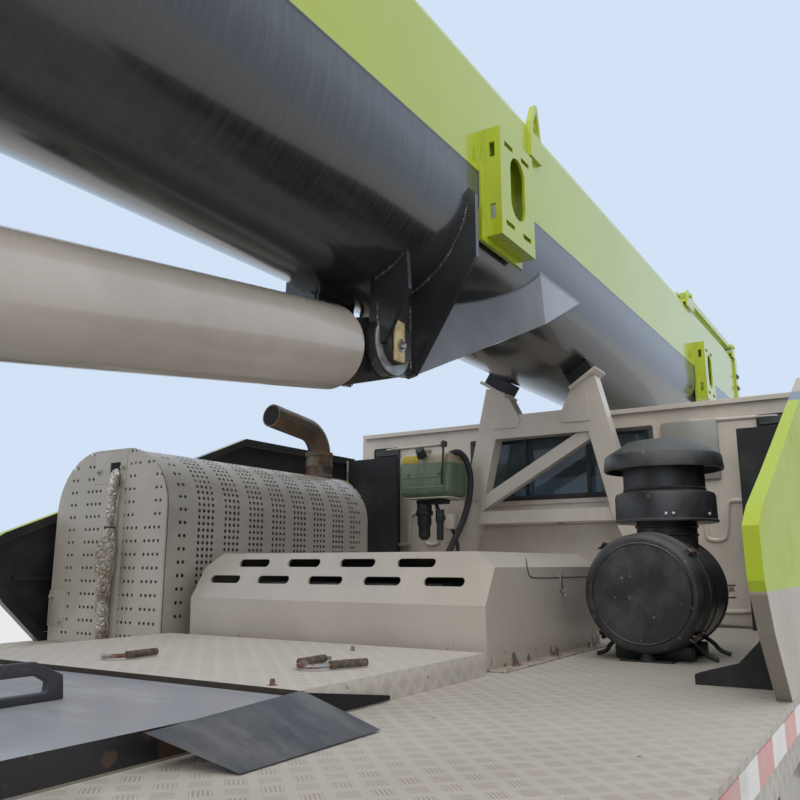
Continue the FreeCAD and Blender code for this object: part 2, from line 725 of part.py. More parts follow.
def fairings():
    """A pressed side panel stands along each deck edge from the cab back, on a curved gusset."""
    z0, x0 = s.deck_height, s.fairing_rear
    high = z0 + s.fairing_height
    outer = s.half_width - 2
    inner = outer - s.fairing_thickness
    # distance ahead of the fairing's rear foot, height above the deck
    side = [(x0 - 40, z0), (x0 - 190, z0 + 140), (x0 - 260, z0 + 240), (x0 - 270, z0 + 340), (x0 - 205, z0 + 380),
            (x0 + 30, z0 + 473), (x0 + 998, high), (2040, high), (2040, z0)]
    panel = prism("fairing_panel", "xz", side, inner, outer)
    recess = [(x0 - 20, z0 + 30), (x0 - 160, z0 + 155), (x0 - 228, z0 + 250), (x0 - 236, z0 + 322),
              (x0 - 190, z0 + 350), (x0 + 40, z0 + 441), (x0 + 1004, high - 32), (2010, high - 32), (2010, z0 + 30)]
    hollow = prism("fairing_recess", "xz", recess, inner - 1, outer - 8)
    ribs = [block("fairing_rib", (x, x + 12), (inner, outer - 7), (z0 + 10, z0 + 440)) for x in (300, 740, 1180, 1620)]
    ribs.append(block("fairing_waist", (x0 - 150, 2030), (inner + 8, outer - 7), (z0 + 215, z0 + 227)))
    end = block("fairing_end", (1960, 1985), (883, inner), (z0, high - 20))
    sides = []
    for name, reach in (("left", 14), ("right", 190)):
        gusset = [(inner, z0), (inner - reach, z0), (inner - reach, z0 + 22), (inner - reach / 2, z0 + 50),
                  (inner - reach / 4, z0 + 100), (inner - 7, z0 + 180), (inner, z0 + 330)]
        foot = prism("fairing_gusset_" + name, "yz", gusset, x0 + 110, x0 + 150)
        shell = cut("fairing_shell_" + name, panel, [hollow])
        sides.append(fuse("fairing_" + name, [shell, foot, end] + ribs))
    node("side_fairings", group("side_fairings", [sides[0], mirrored("fairing_mirrored", sides[1])]))


def common(name, pieces):
    """What all the pieces share."""
    shared = doc.addObject("Part::MultiCommon", fresh(name))
    shared.Shapes = pieces
    return shared


def axles():
    """A dropped front beam and two banjo axles at the rear, each hung on leaf springs."""
    x, z = s.front_axle_x, s.axle_height
    eye = s.kingpin_y
    beam = [block("front_beam", (x - 45, x + 45), (-600, 600), (430, 530))]
    for side in (-1, 1):
        beam.append(bar_between("beam_rise", (x, side * 590, 480), (x, side * (eye - 30), z), 80, 90))
        beam.append(round_bar("king_eye", "z", (x, side * eye), 62, z - 60, z + 60))
    bores = [round_bar("king_bore", "z", (x, side * eye), 30 + s.pin_gap, z - 100, z + 100) for side in (-1, 1)]
    pieces = [cut("front_axle", fuse("front_axle_pieces", beam), bores)]
    for side in (-1, 1):
        y = (360, 435) if side > 0 else (-435, -360)
        leaves = [block("front_leaf", (x - half, x + half), y, (low, low + 27))
                  for half, low in ((638, 611), (470, 584), (300, 557), (150, 530))]
        leaves += [block("front_hanger", (x + at - 40, x + at + 40), y, (630, s.rail_bottom))
                   for at in (-600, 600)]
        pieces.append(fuse("front_spring", leaves))
    front = fuse("front_suspension", pieces)
    pieces = []
    half_gap = s.bogie_spacing / 2
    for end in (-1, 1):
        axle_x = s.rear_axle_x + end * half_gap
        housing = [
            round_bar("rear_tube", "y", (axle_x, z), 75, -860, 860),
            round_bar("rear_spindle", "y", (axle_x, z), 55, -1047, 1047),
            revolved("rear_bowl", "x", (axle_x - 170, 0, z), [
                (0, 0), (90, 0), (205, 100), (205, 230), (90, 330), (0, 330)]),
        ]
        for side in (-1, 1):
            y = (465, 565) if side > 0 else (-565, -465)
            housing.append(block("spring_seat", (axle_x - 60, axle_x + 60), y, (z + 30, 650)))
        pieces.append(fuse("rear_axle", housing))
    for side in (-1, 1):
        y = (475, 555) if side > 0 else (-555, -475)
        post = (440, 560) if side > 0 else (-560, -440)
        bogie = [block("rear_leaf", (s.rear_axle_x - half, s.rear_axle_x + half), y, (low, low + 32))
                 for half, low in ((760, 650), (620, 682), (460, 714), (300, 746))]
        bogie.append(block("trunnion", (s.rear_axle_x - 130, s.rear_axle_x + 130), post, (600, 980)))
        pieces.append(fuse("rear_spring", bogie))
    node("axles", group("axles", [front, fuse("rear_suspension", pieces)]))


def knuckles():
    """The steering knuckle clasps the beam's eye, holds the kingpin and carries the stub axle."""
    x, z = s.front_axle_x, s.axle_height
    pieces = [
        round_bar("kingpin", "z", (x, s.kingpin_y), 30, z - 100, z + 100),
        block("knuckle_web", (x - 55, x + 55), (s.kingpin_y + 67, s.kingpin_y + 85), (z - 100, z + 100)),
        round_bar("stub_axle", "y", (x, z), 45, s.kingpin_y + 70, s.front_track_half + 95),
        bar_between("track_arm", (x, s.kingpin_y + 30, z - 85), (x - 230, s.kingpin_y - 30, z - 85), 40, 34),
    ]
    for low in (z - 100, z + 65):
        pieces.append(block("knuckle_ear", (x - 55, x + 55), (s.kingpin_y - 55, s.kingpin_y + 80), (low, low + 35)))
    left = fuse("knuckle_left", pieces)
    node("knuckle_left", left)
    node("knuckle_right", mirrored("knuckle_right", left))


def tyre(name, centre_x, middle_y):
    """A radial truck tyre with square shoulders, mounted on its rim."""
    bead, crown, half = s.bead_radius, s.tyre_radius, s.tyre_width / 2
    return revolved(name, "y", (centre_x, middle_y, s.axle_height), [
        (bead, -half + 40), (bead + 60, -half + 4), (crown - 75, -half), (crown, -half + 28),
        (crown, half - 28), (crown - 75, half), (bead + 60, half - 4), (bead, half - 40)])


def wheels():
    """Single steered wheels in front and twin driven wheels at both rear axles."""
    x, z, bead = s.front_axle_x, s.axle_height, s.bead_radius
    bore = 45 + s.pin_gap
    left = tyre("front_tyre_left", x, s.front_track_half)
    node("front_tyre_left", left)
    node("front_tyre_right", mirrored("front_tyre_right", left))
    rim = revolved("front_rim_left", "y", (x, s.front_track_half, z), [
        (bore, -110), (95, -110), (95, 40), (195, 40), (195, -90), (208, -90), (208, 40), (bead - 12, 40),
        (bead - 12, -115), (bead, -115), (bead, 115), (bead - 12, 115), (bead - 12, 64), (120, 64), (110, 130),
        (80, 150), (0, 150), (0, 100), (bore, 100)])
    node("front_rim_left", rim)
    node("front_rim_right", mirrored("front_rim_right", rim))
    bore = 55 + s.pin_gap
    for row, end in (("middle", 1), ("rear", -1)):
        axle_x = s.rear_axle_x + end * s.bogie_spacing / 2
        pair = group(row + "_tyres_left", [
            tyre("%s_tyre_%s" % (row, place_name), axle_x, s.twin_middle + side * s.twin_spacing / 2)
            for place_name, side in (("inner", -1), ("outer", 1))])
        node(row + "_tyres_left", pair)
        node(row + "_tyres_right", mirrored(row + "_tyres_right", pair))
        rims = revolved(row + "_rims_left", "y", (axle_x, s.twin_middle, z), [
            (bore, -30), (110, -30), (110, -14), (195, -14), (195, -170), (208, -170), (208, -14), (bead - 12, -14),
            (bead - 12, -285), (bead, -285), (bead, 285), (bead - 12, 285), (bead - 12, 14), (120, 14), (120, 150),
            (95, 190), (0, 190), (0, 140), (bore, 140)])
        node(row + "_rims_left", rims)
        node(row + "_rims_right", mirrored(row + "_rims_right", rims))


def screen_x(z):
    """Where the windscreen's outer face stands at a height."""
    return s.cab_front - (z - s.screen_foot) * (s.cab_front - s.screen_top_x) / (s.cab_roof - s.screen_foot)


def cab():
    """A full-width pressed cab ahead of the deck, arched over the front wheels."""
    wall, half = s.cab_wall, s.cab_half
    outside = [(s.cab_rear, s.sill_height), (s.cab_rear, s.cab_roof), (s.screen_top_x, s.cab_roof),
               (s.cab_front, s.screen_foot), (s.cab_front, s.cab_floor), (s.arch_front, s.cab_floor),
               (s.arch_front, s.sill_height)]
    inside = [(s.cab_rear + wall, s.sill_height + wall), (s.cab_rear + wall, s.cab_roof - wall),
              (s.screen_top_x - wall * 0.7, s.cab_roof - wall), (s.cab_front - wall, s.screen_foot - 6),
              (s.cab_front - wall, s.cab_floor + wall), (s.arch_front + wall, s.cab_floor + wall),
              (s.arch_front + wall, s.sill_height + wall)]
    shell = prism("cab_outside", "xz", outside, -half, half)
    room = prism("cab_inside", "xz", inside, -half + wall, half - wall)
    low, high = s.screen_foot + 60, s.cab_roof - 100
    q0, q1 = s.cab_rear + 110, s.arch_front + 10
    openings = [
        room,
        block("screen_opening", (s.screen_top_x - 60, s.cab_front + 50), (-half + 90, half - 90), (low, high)),
        block("rear_opening", (s.cab_rear - 10, s.cab_rear + wall + 10),
              (-s.rear_window_half, s.rear_window_half), (s.rear_window_low, s.rear_window_high)),
    ]
    for side in (-1, 1):
        y = (half - wall - 10, half + 10) if side > 0 else (-half - 10, -half + wall + 10)
        openings.append(block("door_opening", (s.door_rear, s.door_front), y, (s.door_foot, s.door_head)))
        openings.append(block("quarter_opening", (q0, q1), y, (s.rear_window_low - 300, s.door_head - 60)))
    for z in (1010, 1090, 1170):
        openings.append(block("grille_slot", (s.cab_front - 14, s.cab_front + 10), (-620, 620), (z, z + 44)))
    body = cut("cab_body", shell, openings)
    gutter = block("roof_gutter", (s.cab_rear - 22, s.cab_rear), (-half + 20, half - 20),
                   (s.cab_roof - 26, s.cab_roof - 8))
    frame_out = block("window_frame_out", (s.cab_rear - 12, s.cab_rear),
                      (-s.rear_window_half - 28, s.rear_window_half + 28),
                      (s.rear_window_low - 28, s.rear_window_high + 28))
    frame_in = block("window_frame_in", (s.cab_rear - 20, s.cab_rear + 5),
                     (-s.rear_window_half, s.rear_window_half), (s.rear_window_low, s.rear_window_high))
    trims = [gutter, cut("window_frame", frame_out, [frame_in])]
    for side in (-1, 1):
        for z in (1000, 1900):
            trims.append(round_bar("door_pivot", "z", (s.door_front - 8, side * (half + 12)), 11, z - 45, z))
            y = (half - 2, half + 12) if side > 0 else (-half - 12, -half + 2)
            trims.append(block("pivot_strap", (s.door_front - 8, s.door_front + 55), y, (z - 45, z - 2)))
    node("cab_shell", fuse("cab_shell", [body] + trims))
    t = s.glass_thickness
    panes = [prism("windscreen", "xz", [
        (screen_x(low) - 25, low), (screen_x(low) - 25 + t, low),
        (screen_x(high) - 25 + t, high), (screen_x(high) - 25, high)], -half + 90, half - 90)]
    panes.append(block("rear_pane", (s.cab_rear + 22, s.cab_rear + 22 + t),
                       (-s.rear_window_half, s.rear_window_half), (s.rear_window_low, s.rear_window_high)))
    for side in (-1, 1):
        y = (half - 28, half - 28 + t) if side > 0 else (-half + 28 - t, -half + 28)
        panes.append(block("quarter_pane", (q0, q1), y, (s.rear_window_low - 300, s.door_head - 60)))
    node("cab_glass", group("cab_glass", panes))
    fittings = [block("dash", (s.cab_front - wall - 330, s.cab_front - wall), (-half + wall, half - wall),
                      (s.cab_floor + wall + 380, s.screen_foot - 40))]
    for side in (-1, 1):
        y0 = 560 * side
        fittings += [
            block("seat_base", (2850, 3250), (y0 - 200, y0 + 200), (s.cab_floor + wall, 1060)),
            block("seat_cushion", (2790, 3300), (y0 - 250, y0 + 250), (1060, 1180)),
            sloped_box("seat_back", (110, 480, 640), (2800, y0, 1470), (0, 1, 0), -10),
        ]
    wheel = round_bar("wheel_ring", "z", (0, 0), 225, 0, 28)
    well = round_bar("wheel_well", "z", (0, 0), 198, -5, 40)
    ring = cut("steering_ring", wheel, [well])
    spoke = block("wheel_spoke", (-24, 24), (-205, 205), (4, 22))
    column = round_bar("steering_column", "z", (0, 0), 34, -470, 20)
    steering = fuse("steering", [ring, spoke, column])
    steering.Placement = Placement(Vector(3600, 560, 1560), Rotation(Vector(0, 1, 0), -40))
    node("cab_interior", fuse("cab_interior", fittings + [steering]))


def doors():
    """Front-hinged doors with their own window frames, on outside pivots."""
    half, gap = s.cab_half, s.run_gap + 1
    x0, x1 = s.door_rear + gap, s.door_front - gap
    z0, z1 = s.door_foot + gap, s.door_head - gap
    panel = block("door_panel", (x0, x1), (half - s.cab_wall + 6, half - 1), (z0, z1))
    w0, w1, low, high = x0 + 90, x1 - 70, 1450, z1 - 75
    opening = block("door_window", (w0, w1), (half - 60, half + 10), (low, high))
    straps, clearances = [], []
    for z in (1000, 1900):
        straps.append(round_bar("door_barrel", "z", (s.door_front - 8, half + 12), 11, z + 0.3, z + 45))
        straps.append(block("door_strap", (s.door_front - 75, s.door_front - 8), (half - 3, half + 12), (z + 3, z + 45)))
        clearances.append(block("strap_room", (s.door_front - 30, s.door_front + 5), (half - 20, half + 40), (z - 55, z)))
    handle = block("door_handle", (x0 + 40, x0 + 190), (half - 1, half + 22), (1330, 1360))
    left = cut("door_left", fuse("door_pieces", [panel, handle] + straps), [opening] + clearances)
    node("door_left", left)
    node("door_right", mirrored("door_right", left))
    pane = block("door_left_glass", (w0, w1), (half - 28, half - 28 + s.glass_thickness), (low, high))
    node("door_left_glass", pane)
    node("door_right_glass", mirrored("door_right_glass", pane))


def front_end():
    """Bumper, lamps at both ends and the mirrors on their arms."""
    bumper = [block("bumper", (s.rail_front, s.cab_front + 70), (-1190, 1190), (450, s.cab_floor - 5)),
              block("tow_bar", (s.cab_front + 69, s.cab_front + 155), (-150, 150), (500, 600))]
    pin_bore = round_bar("tow_bore", "z", (s.cab_front + 115, 0), 20, 490, 610)
    node("front_bumper", cut("front_bumper", fuse("bumper_pieces", bumper), [pin_bore]))
    lamps = []
    for side in (-1, 1):
        lamps.append(round_bar("head_lamp", "x", (side * 880, 555), 72, s.cab_front + 70, s.cab_front + 95))
        lamps.append(block("turn_lamp", (s.cab_front + 70, s.cab_front + 90), (side * 1060 - 60, side * 1060 + 60),
                           (505, 605)))
        lamps.append(block("tail_lamp", (s.rear_end + 2, s.rear_end + 20), (side * 940 - 90, side * 940 + 90),
                           (900, 1000)))
    node("lamps", group("lamps", lamps))
    mirror = [
        block("mirror_shell", (3960, 4040), (1300, 1460), (1620, 2020)),
        block("mirror_arm_high", (3985, 4015), (s.cab_half, 1320), (1985, 2010)),
        block("mirror_arm_low", (3985, 4015), (s.cab_half, 1320), (1630, 1655)),
    ]
    left = fuse("mirror_left", mirror)
    node("mirrors", group("mirrors", [left, mirrored("mirror_right", left)]))


def side_boxes():
    """Fuel tank, battery box, air tanks and tool lockers hung on the frame under the deck."""
    top, side = s.frame_top - 110, s.frame_half
    low = top - 540
    fuel = block("fuel_tank", (-540, 330), (-1190, -520), (low, top))
    straps = [block("fuel_strap", (x, x + 60), (-1200, -510), (low - 10, top + 10)) for x in (-420, 150)]
    hangers = [block("fuel_hanger", (x, x + 60), (-520, -side), (low + 210, top)) for x in (-420, 150)]
    filler = round_bar("fuel_filler", "y", (-60, top - 70), 48, -1225, -1180)
    battery = block("battery_box", (-540, 180), (520, 1190), (low, top))
    battery_hangers = [block("battery_hanger", (x, x + 60), (side, 520), (low + 210, top)) for x in (-420, 60)]
    air = []
    for z in (top - 420, top - 140):
        air.append(round_bar("air_tank", "x", (760, z), 125, 330, 1180))
    air += [block("air_hanger", (x, x + 50), (side, 760), (top - 440, top - 120)) for x in (450, 1000)]
    spare = block("urea_tank", (450, 1130), (-1150, -540), (low + 60, top - 30))
    spare_hangers = [block("urea_hanger", (x, x + 60), (-540, -side), (low + 210, top - 60)) for x in (520, 960)]
    locker = block("locker", (-5600, -3980), (side, 1200), (low + 120, s.frame_top))
    node("side_boxes", group("side_boxes", [
        fuse("fuel_group", [fuel, filler] + straps + hangers),
        fuse("battery_group", [battery] + battery_hangers),
        fuse("air_group", air),
        fuse("urea_group", [spare] + spare_hangers),
        locker,
        mirrored("locker_right", locker),
    ]))


def turntable():
    """The slewing platform with two tall cheeks that carry the boom's foot and the winch."""
    z0, z1 = s.table_bottom, s.table_bottom + s.table_plate
    foot_x, foot_z = s.boom_foot_x, s.boom_foot_z
    inner, outer = s.cheek_in, s.cheek_in + s.cheek_plate
    cheek = prism("cheek", "xz", [
        (-5400, z1 - 1), (-5400, z1 + 710), (-5180, z1 + 800), (-4900, z1 + 800), (foot_x - 240, foot_z + 80),
        (foot_x - 120, foot_z + 200), (foot_x + 120, foot_z + 200), (foot_x + 240, foot_z + 60), (-3300, z1 + 740),
        (s.lift_foot_x + 130, z1 + 520), (s.lift_foot_x + 260, z1 - 1)], inner, outer)
    lug_in = s.lift_eye_half + s.run_gap
    lug = prism("foot_lug", "xz", [
        (s.lift_foot_x - 250, z1 - 1), (s.lift_foot_x - 130, s.lift_foot_z + 110),
        (s.lift_foot_x + 130, s.lift_foot_z + 110), (s.lift_foot_x + 250, z1 - 1)], lug_in, lug_in + s.lift_lug)
    pieces = [
        block("table_plate", (-5400, s.lift_foot_x + 700), (-600, 600), (z0, z1)),
        round_bar("table_disc", "z", (s.slew_x, 0), 760, z0, z1),
        block("operator_shelf", (s.operator_rear - 40, s.operator_front + 20), (590, s.operator_out), (z0, z1)),
        cheek, mirrored("cheek_right", cheek), lug, mirrored("foot_lug_right", lug),
        round_bar("lift_foot_pin", "y", (s.lift_foot_x, s.lift_foot_z), s.lift_pin_radius,
                  -lug_in - s.lift_lug - 15, lug_in + s.lift_lug + 15),
        block("winch_floor", (-5400, -4700), (-inner - 1, inner + 1), (z1 - 1, z1 + 120)),
        block("cheek_tie", (-3700, -3640), (-inner - 1, inner + 1), (z1 - 1, z1 + 460)),
    ]
    for side in (-1, 1):
        y = (outer - 1, outer + 45) if side > 0 else (-outer - 45, -outer + 1)
        pieces.append(round_bar("foot_boss", "y", (foot_x, foot_z), 110, *y))
    whole = fuse("table_pieces", pieces)
    bores = [
        round_bar("foot_bore", "y", (foot_x, foot_z), 60 + s.pin_gap, -600, 600),
        round_bar("winch_bore", "y", (s.winch_x, s.winch_z), 45 + s.pin_gap, -600, 600),
    ]
    node("turntable", cut("turntable", whole, bores))


def counterweight():
    """A cast weight whose back is curved about the slewing axis."""
    front, low = s.slew_x - 2350, s.table_bottom + 100
    cast = block("weight_block", (s.slew_x - s.tail_radius - 50, front), (-1180, 1180), (low, low + 750))
    sweep = round_bar("weight_sweep", "z", (s.slew_x, 0), s.tail_radius, low - 10, low + 760)
    shelf = block("weight_shelf", (front - 420, front), (-600, 600), (s.table_bottom, low))
    notch = block("weight_notch", (s.slew_x - s.tail_radius - 60, front - 260), (-500, 500), (low + 460, low + 770))
    node("counterweight", cut("counterweight", fuse("weight_pieces", [common("weight_curve", [cast, sweep]), shelf]),
                              [notch]))


def operator_station():
    """The crane driver's cab left of the boom: hollow shell, panes, seat with levers, sliding door."""
    x0, x1 = s.operator_rear, s.operator_front
    y0, y1, wall = s.operator_in, s.operator_out, s.operator_wall
    z0, z1 = s.operator_floor, s.operator_roof
    outside = [(x0, z0), (x0, z1), (x1 - 300, z1), (x1, z0 + 710), (x1, z0 + 320), (x1 - 60, z0)]
    inside = [(x0 + wall, z0 + wall), (x0 + wall, z1 - wall), (x1 - 300 - 25, z1 - wall),
              (x1 - wall, z0 + 703), (x1 - wall, z0 + 325), (x1 - 60 - wall, z0 + wall)]
    shell = prism("operator_outside", "xz", outside, y0, y1)
    door0, door1 = x1 - 860, x1 - 210
    openings = [
        prism("operator_inside", "xz", inside, y0 + wall, y1 - wall),
        block("front_opening", (x1 - 290, x1 + 20), (y0 + 60, y1 - 60), (z0 + 360, z0 + 670)),
        block("upper_opening", (x1 - 330, x1 + 20), (y0 + 60, y1 - 60), (z0 + 740, z1 - 90)),
        block("roof_opening", (x0 + 600, x1 - 420), (y0 + 110, y1 - 110), (z1 - 60, z1 + 20)),
        block("inner_opening", (x0 + 500, x1 - 350), (y0 - 20, y0 + wall + 20), (z0 + 460, z1 - 140)),
        block("outer_opening", (x0 + 90, door0 - 80), (y1 - wall - 20, y1 + 20), (z0 + 460, z1 - 140)),
        block("back_opening", (x0 - 20, x0 + wall + 20), (y0 + 110, y1 - 110), (z0 + 710, z1 - 140)),
        block("door_way", (door0 + 25, door1 - 25), (y1 - wall - 20, y1 + 20), (z0 + wall + 60, z1 - 160)),
    ]
    rails = [block("door_rail", (x0 + 10, door1 + 20), (y1, y1 + 40), (z, z + 30)) for z in (z0 + 50, z1 - 110)]
    node("operator_cab", fuse("operator_cab", [cut("operator_shell", shell, openings)] + rails))
    t = s.glass_thickness
    bend = z0 + 710
    slope = as_size(300) / (z1 - bend)
    low, high = bend + 30, z1 - 90
    face_low, face_high = x1 - (low - bend) * slope, x1 - (high - bend) * slope
    panes = [
        prism("upper_pane", "xz", [(face_low - 20, low), (face_low - 20 + t, low),
                                   (face_high - 20 + t, high), (face_high - 20, high)], y0 + 60, y1 - 60),
        block("front_pane", (x1 - 20, x1 - 20 + t), (y0 + 60, y1 - 60), (z0 + 360, z0 + 670)),
        block("roof_pane", (x0 + 600, x1 - 420), (y0 + 110, y1 - 110), (z1 - 20, z1 - 20 + t)),
        block("inner_pane", (x0 + 500, x1 - 350), (y0 + 15, y0 + 15 + t), (z0 + 460, z1 - 140)),
        block("outer_pane", (x0 + 90, door0 - 80), (y1 - 20, y1 - 20 + t), (z0 + 460, z1 - 140)),
        block("back_pane", (x0 + 15, x0 + 15 + t), (y0 + 110, y1 - 110), (bend, z1 - 140)),
    ]
    node("operator_glass", group("operator_glass", panes))
    middle, floor = (y0 + y1) / 2, s.operator_floor
    seat = [
        block("operator_base", (-3260, -2900), (middle - 180, middle + 180), (z0 + wall, floor + 390)),
        block("operator_cushion", (-3300, -2800), (middle - 240, middle + 240), (floor + 390, floor + 500)),
        sloped_box("operator_back", (110, 460, 640), (-3330, middle, floor + 790), (0, 1, 0), -8),
    ]
    for side in (-1, 1):
        y = middle + side * 278
        seat.append(block("arm_box", (-3200, -2760), (y - 36, y + 36), (floor + 460, floor + 650)))
        seat.append(block("arm_foot", (-3200, -3000), (y - 36, y + 36), (floor + 340, floor + 460)))
        seat.append(round_bar("lever", "z", (-2820, y), 14, floor + 640, floor + 790))
    seat.append(block("arm_bridge", (-3200, -3000), (middle - 314, middle + 314), (floor + 340, floor + 389)))
    node("operator_seat", fuse("operator_seat", seat))
    panel = block("sliding_panel", (door0, door1), (y1 + 5, y1 + 35), (z0 + 80 + s.seat_gap, z1 - 110 - s.seat_gap))
    window = block("sliding_window", (door0 + 70, door1 - 70), (y1, y1 + 50), (z0 + 460, z1 - 190))
    grip = block("sliding_grip", (door1 - 55, door1 - 20), (y1 + 34, y1 + 52), (z0 + 460, z0 + 710))
    pane = block("sliding_pane", (door0 + 70, door1 - 70), (y1 + 16, y1 + 16 + t), (z0 + 460, z1 - 190))
    node("operator_door", cut("operator_door", fuse("sliding_pieces", [panel, grip]), [window]))
    node("operator_door_glass", group("operator_door_glass", [pane]))


def winch():
    """A grooved hoist drum between the cheeks on its own shaft."""
    x, z = s.winch_x, s.winch_z
    drum = revolved("winch_drum", "y", (x, 0, z), [
        (0, -430), (45, -430), (45, -330), (225, -330), (225, -300), (150, -300), (150, 300), (225, 300), (225, 330),
        (45, 330), (45, 430), (0, 430)])
    node("winch_drum", drum)


def boom_axis_z():
    """Height of the middle of the boom's round underside."""
    return s.boom_bottom + s.boom_width / 2


def u_bar(name, half, top, start, end):
    """A bar of U section along x: half-round below, flat on top with rounded upper corners."""
    radius = float(as_size(half))
    centre, height, corner = float(boom_axis_z()), float(as_size(top)), 50.0
    sketch = doc.addObject("Sketcher::SketchObject", fresh(name) + "_section")
    sketch.Placement = Placement(Vector(0, 0, 0), PLANES["yz"][0])
    sketch.setExpression("Placement.Base.x", as_size(start).text)
    up = Vector(0, 0, 1)
    arc = Part.ArcOfCircle
    sketch.addGeometry([
        arc(Part.Circle(Vector(0, centre, 0), up, radius), math.pi, 2 * math.pi),
        Part.LineSegment(Vector(radius, centre, 0), Vector(radius, height - corner, 0)),
        arc(Part.Circle(Vector(radius - corner, height - corner, 0), up, corner), 0, math.pi / 2),
        Part.LineSegment(Vector(radius - corner, height, 0), Vector(corner - radius, height, 0)),
        arc(Part.Circle(Vector(corner - radius, height - corner, 0), up, corner), math.pi / 2, math.pi),
        Part.LineSegment(Vector(-radius, height - corner, 0), Vector(-radius, centre, 0)),
    ], False)
    for i in range(6):
        sketch.addConstraint(Sketcher.Constraint("Tangent", i, 2, (i + 1) % 6, 1))
    sketch.addConstraint(Sketcher.Constraint("Vertical", 1))
    sketch.addConstraint(Sketcher.Constraint("Equal", 2, 4))
    sketch.addConstraint(Sketcher.Constraint("DistanceX", -1, 1, 0, 3, 0))
    for constraint, value in (
            (Sketcher.Constraint("DistanceY", -1, 1, 0, 3, centre), boom_axis_z()),
            (Sketcher.Constraint("DistanceY", -1, 1, 3, 1, height), as_size(top)),
            (Sketcher.Constraint("Radius", 0, radius), as_size(half)),
            (Sketcher.Constraint("Radius", 2, corner), as_size(corner))):
        index = sketch.addConstraint(constraint)
        sketch.setExpression("Constraints[%d]" % index, value.text)
    bar = doc.addObject("Part::Extrusion", fresh(name))
    bar.Base = sketch
    bar.DirMode = "Custom"
    bar.Dir = Vector(1, 0, 0)
    bar.Solid = True
    bar.setExpression("LengthFwd", (as_size(end) - start).text)
    return bar


# rear end, how many steps it lies inside the base section, and the place of its collar in the row
SECTIONS = (
    ("boom_section_2", -4150, 1),
    ("boom_section_3", -4100, 2),
    ("boom_section_4", -4050, 3),
)


def collar_front(row):
    """The front face of a section's collar; the base section's is row 0."""
    return s.boom_front + row * (s.collar_depth + s.collar_gap)


def collar(name, row):
    """The ring at a section's mouth, with room for the next section."""
    front = collar_front(row)
    half, top = section_size(row)
    return u_bar(name, half + 14, top + 14, front - s.collar_depth, front)


def section_size(row):
    """Half width and top of the section that lies so many steps inside the base section."""
    half = s.boom_width / 2 - row * s.boom_step
    return half, s.boom_bottom + s.boom_height - row * s.boom_step


def mouth(name, row):
    """The way through a section's collar: close below, where the next section slides, free above."""
    front = collar_front(row)
    half, top = section_size(row + 1)
    free = u_bar(name + "_free", half + s.run_gap, top + s.run_gap, front - s.collar_depth - 1, front + 1)
    lower = block(name + "_lower", (front - s.collar_depth - 2, front + 2), (-600, 600),
                  (s.boom_bottom - 200, boom_axis_z() - 60))
    snug = round_bar(name + "_snug", "x", (0, boom_axis_z()), half + s.seat_gap,
                     front - s.collar_depth - 1, front + 1)
    return [cut(name + "_upper", free, [lower]), snug]


def flat_plate(name, corners, thickness):
    """A plate between three or more corners, thickened towards the boom's middle plane."""
    points = [Vector(*(float(as_size(v)) for v in corner)) for corner in corners]
    normal = (points[1] - points[0]).cross(points[2] - points[0])
    normal.normalize()
    if normal.y < 0:
        normal = normal * -1
    flat = [point - normal * normal.dot(point - points[0]) for point in points]
    return made(name, Part.Face(Part.makePolygon(flat + flat[:1])).extrude(normal * thickness))


def lug_structure(lug_in):
    """Two lugs for the luffing cylinder, stiffened by two wings across and a flared plate ahead on each side."""
    x, z, low = s.lift_pin_x, s.lift_pin_z, s.boom_bottom
    lug_out = lug_in + s.lift_lug
    lug = prism("lift_lug", "xz", [
        (x - 75, low + 100), (x - 88, z + 60), (x - 60, z - 86), (x + 60, z - 88), (x + 122, z - 80),
        (x + 122, low + 100)], -lug_out, -lug_in)
    eye = round_bar("lug_eye", "y", (x, z), 105, -lug_out, -lug_in)
    wings = [
        prism("wing_rear", "yz", [
            (-lug_in - 13, low - 198), (-163, low - 188), (-250, low - 30), (-243, low + 97), (-lug_in - 13, low + 40)],
            x - 85, x - 85 + s.wing_plate),
        prism("wing_front", "yz", [
            (-lug_in - 13, low - 264), (-152, low - 257), (-388, low + 112), (-388, low + 330), (-357, low + 365),
            (-323, low + 214), (-239, low + 100), (-lug_in - 13, low + 27)],
            x + 110, x + 110 + s.wing_plate),
    ]
    fold_low, fold_top = (x + 710, -380, low + 36), (x + 744, -350, low + 277)
    flare = flat_plate("flare", [
        (x + 122, -131, low - 258), fold_low, fold_top, (x + 360, -168, low + 48), (x + 122, -90, low + 20)], 14)
    tip = flat_plate("flare_tip", [fold_low, (x + 1210, -352, low + 270), fold_top], 14)
    right = [lug, eye, flare, tip] + wings
    return right + [mirrored(fresh(piece.Label) + "_left", piece) for piece in right]


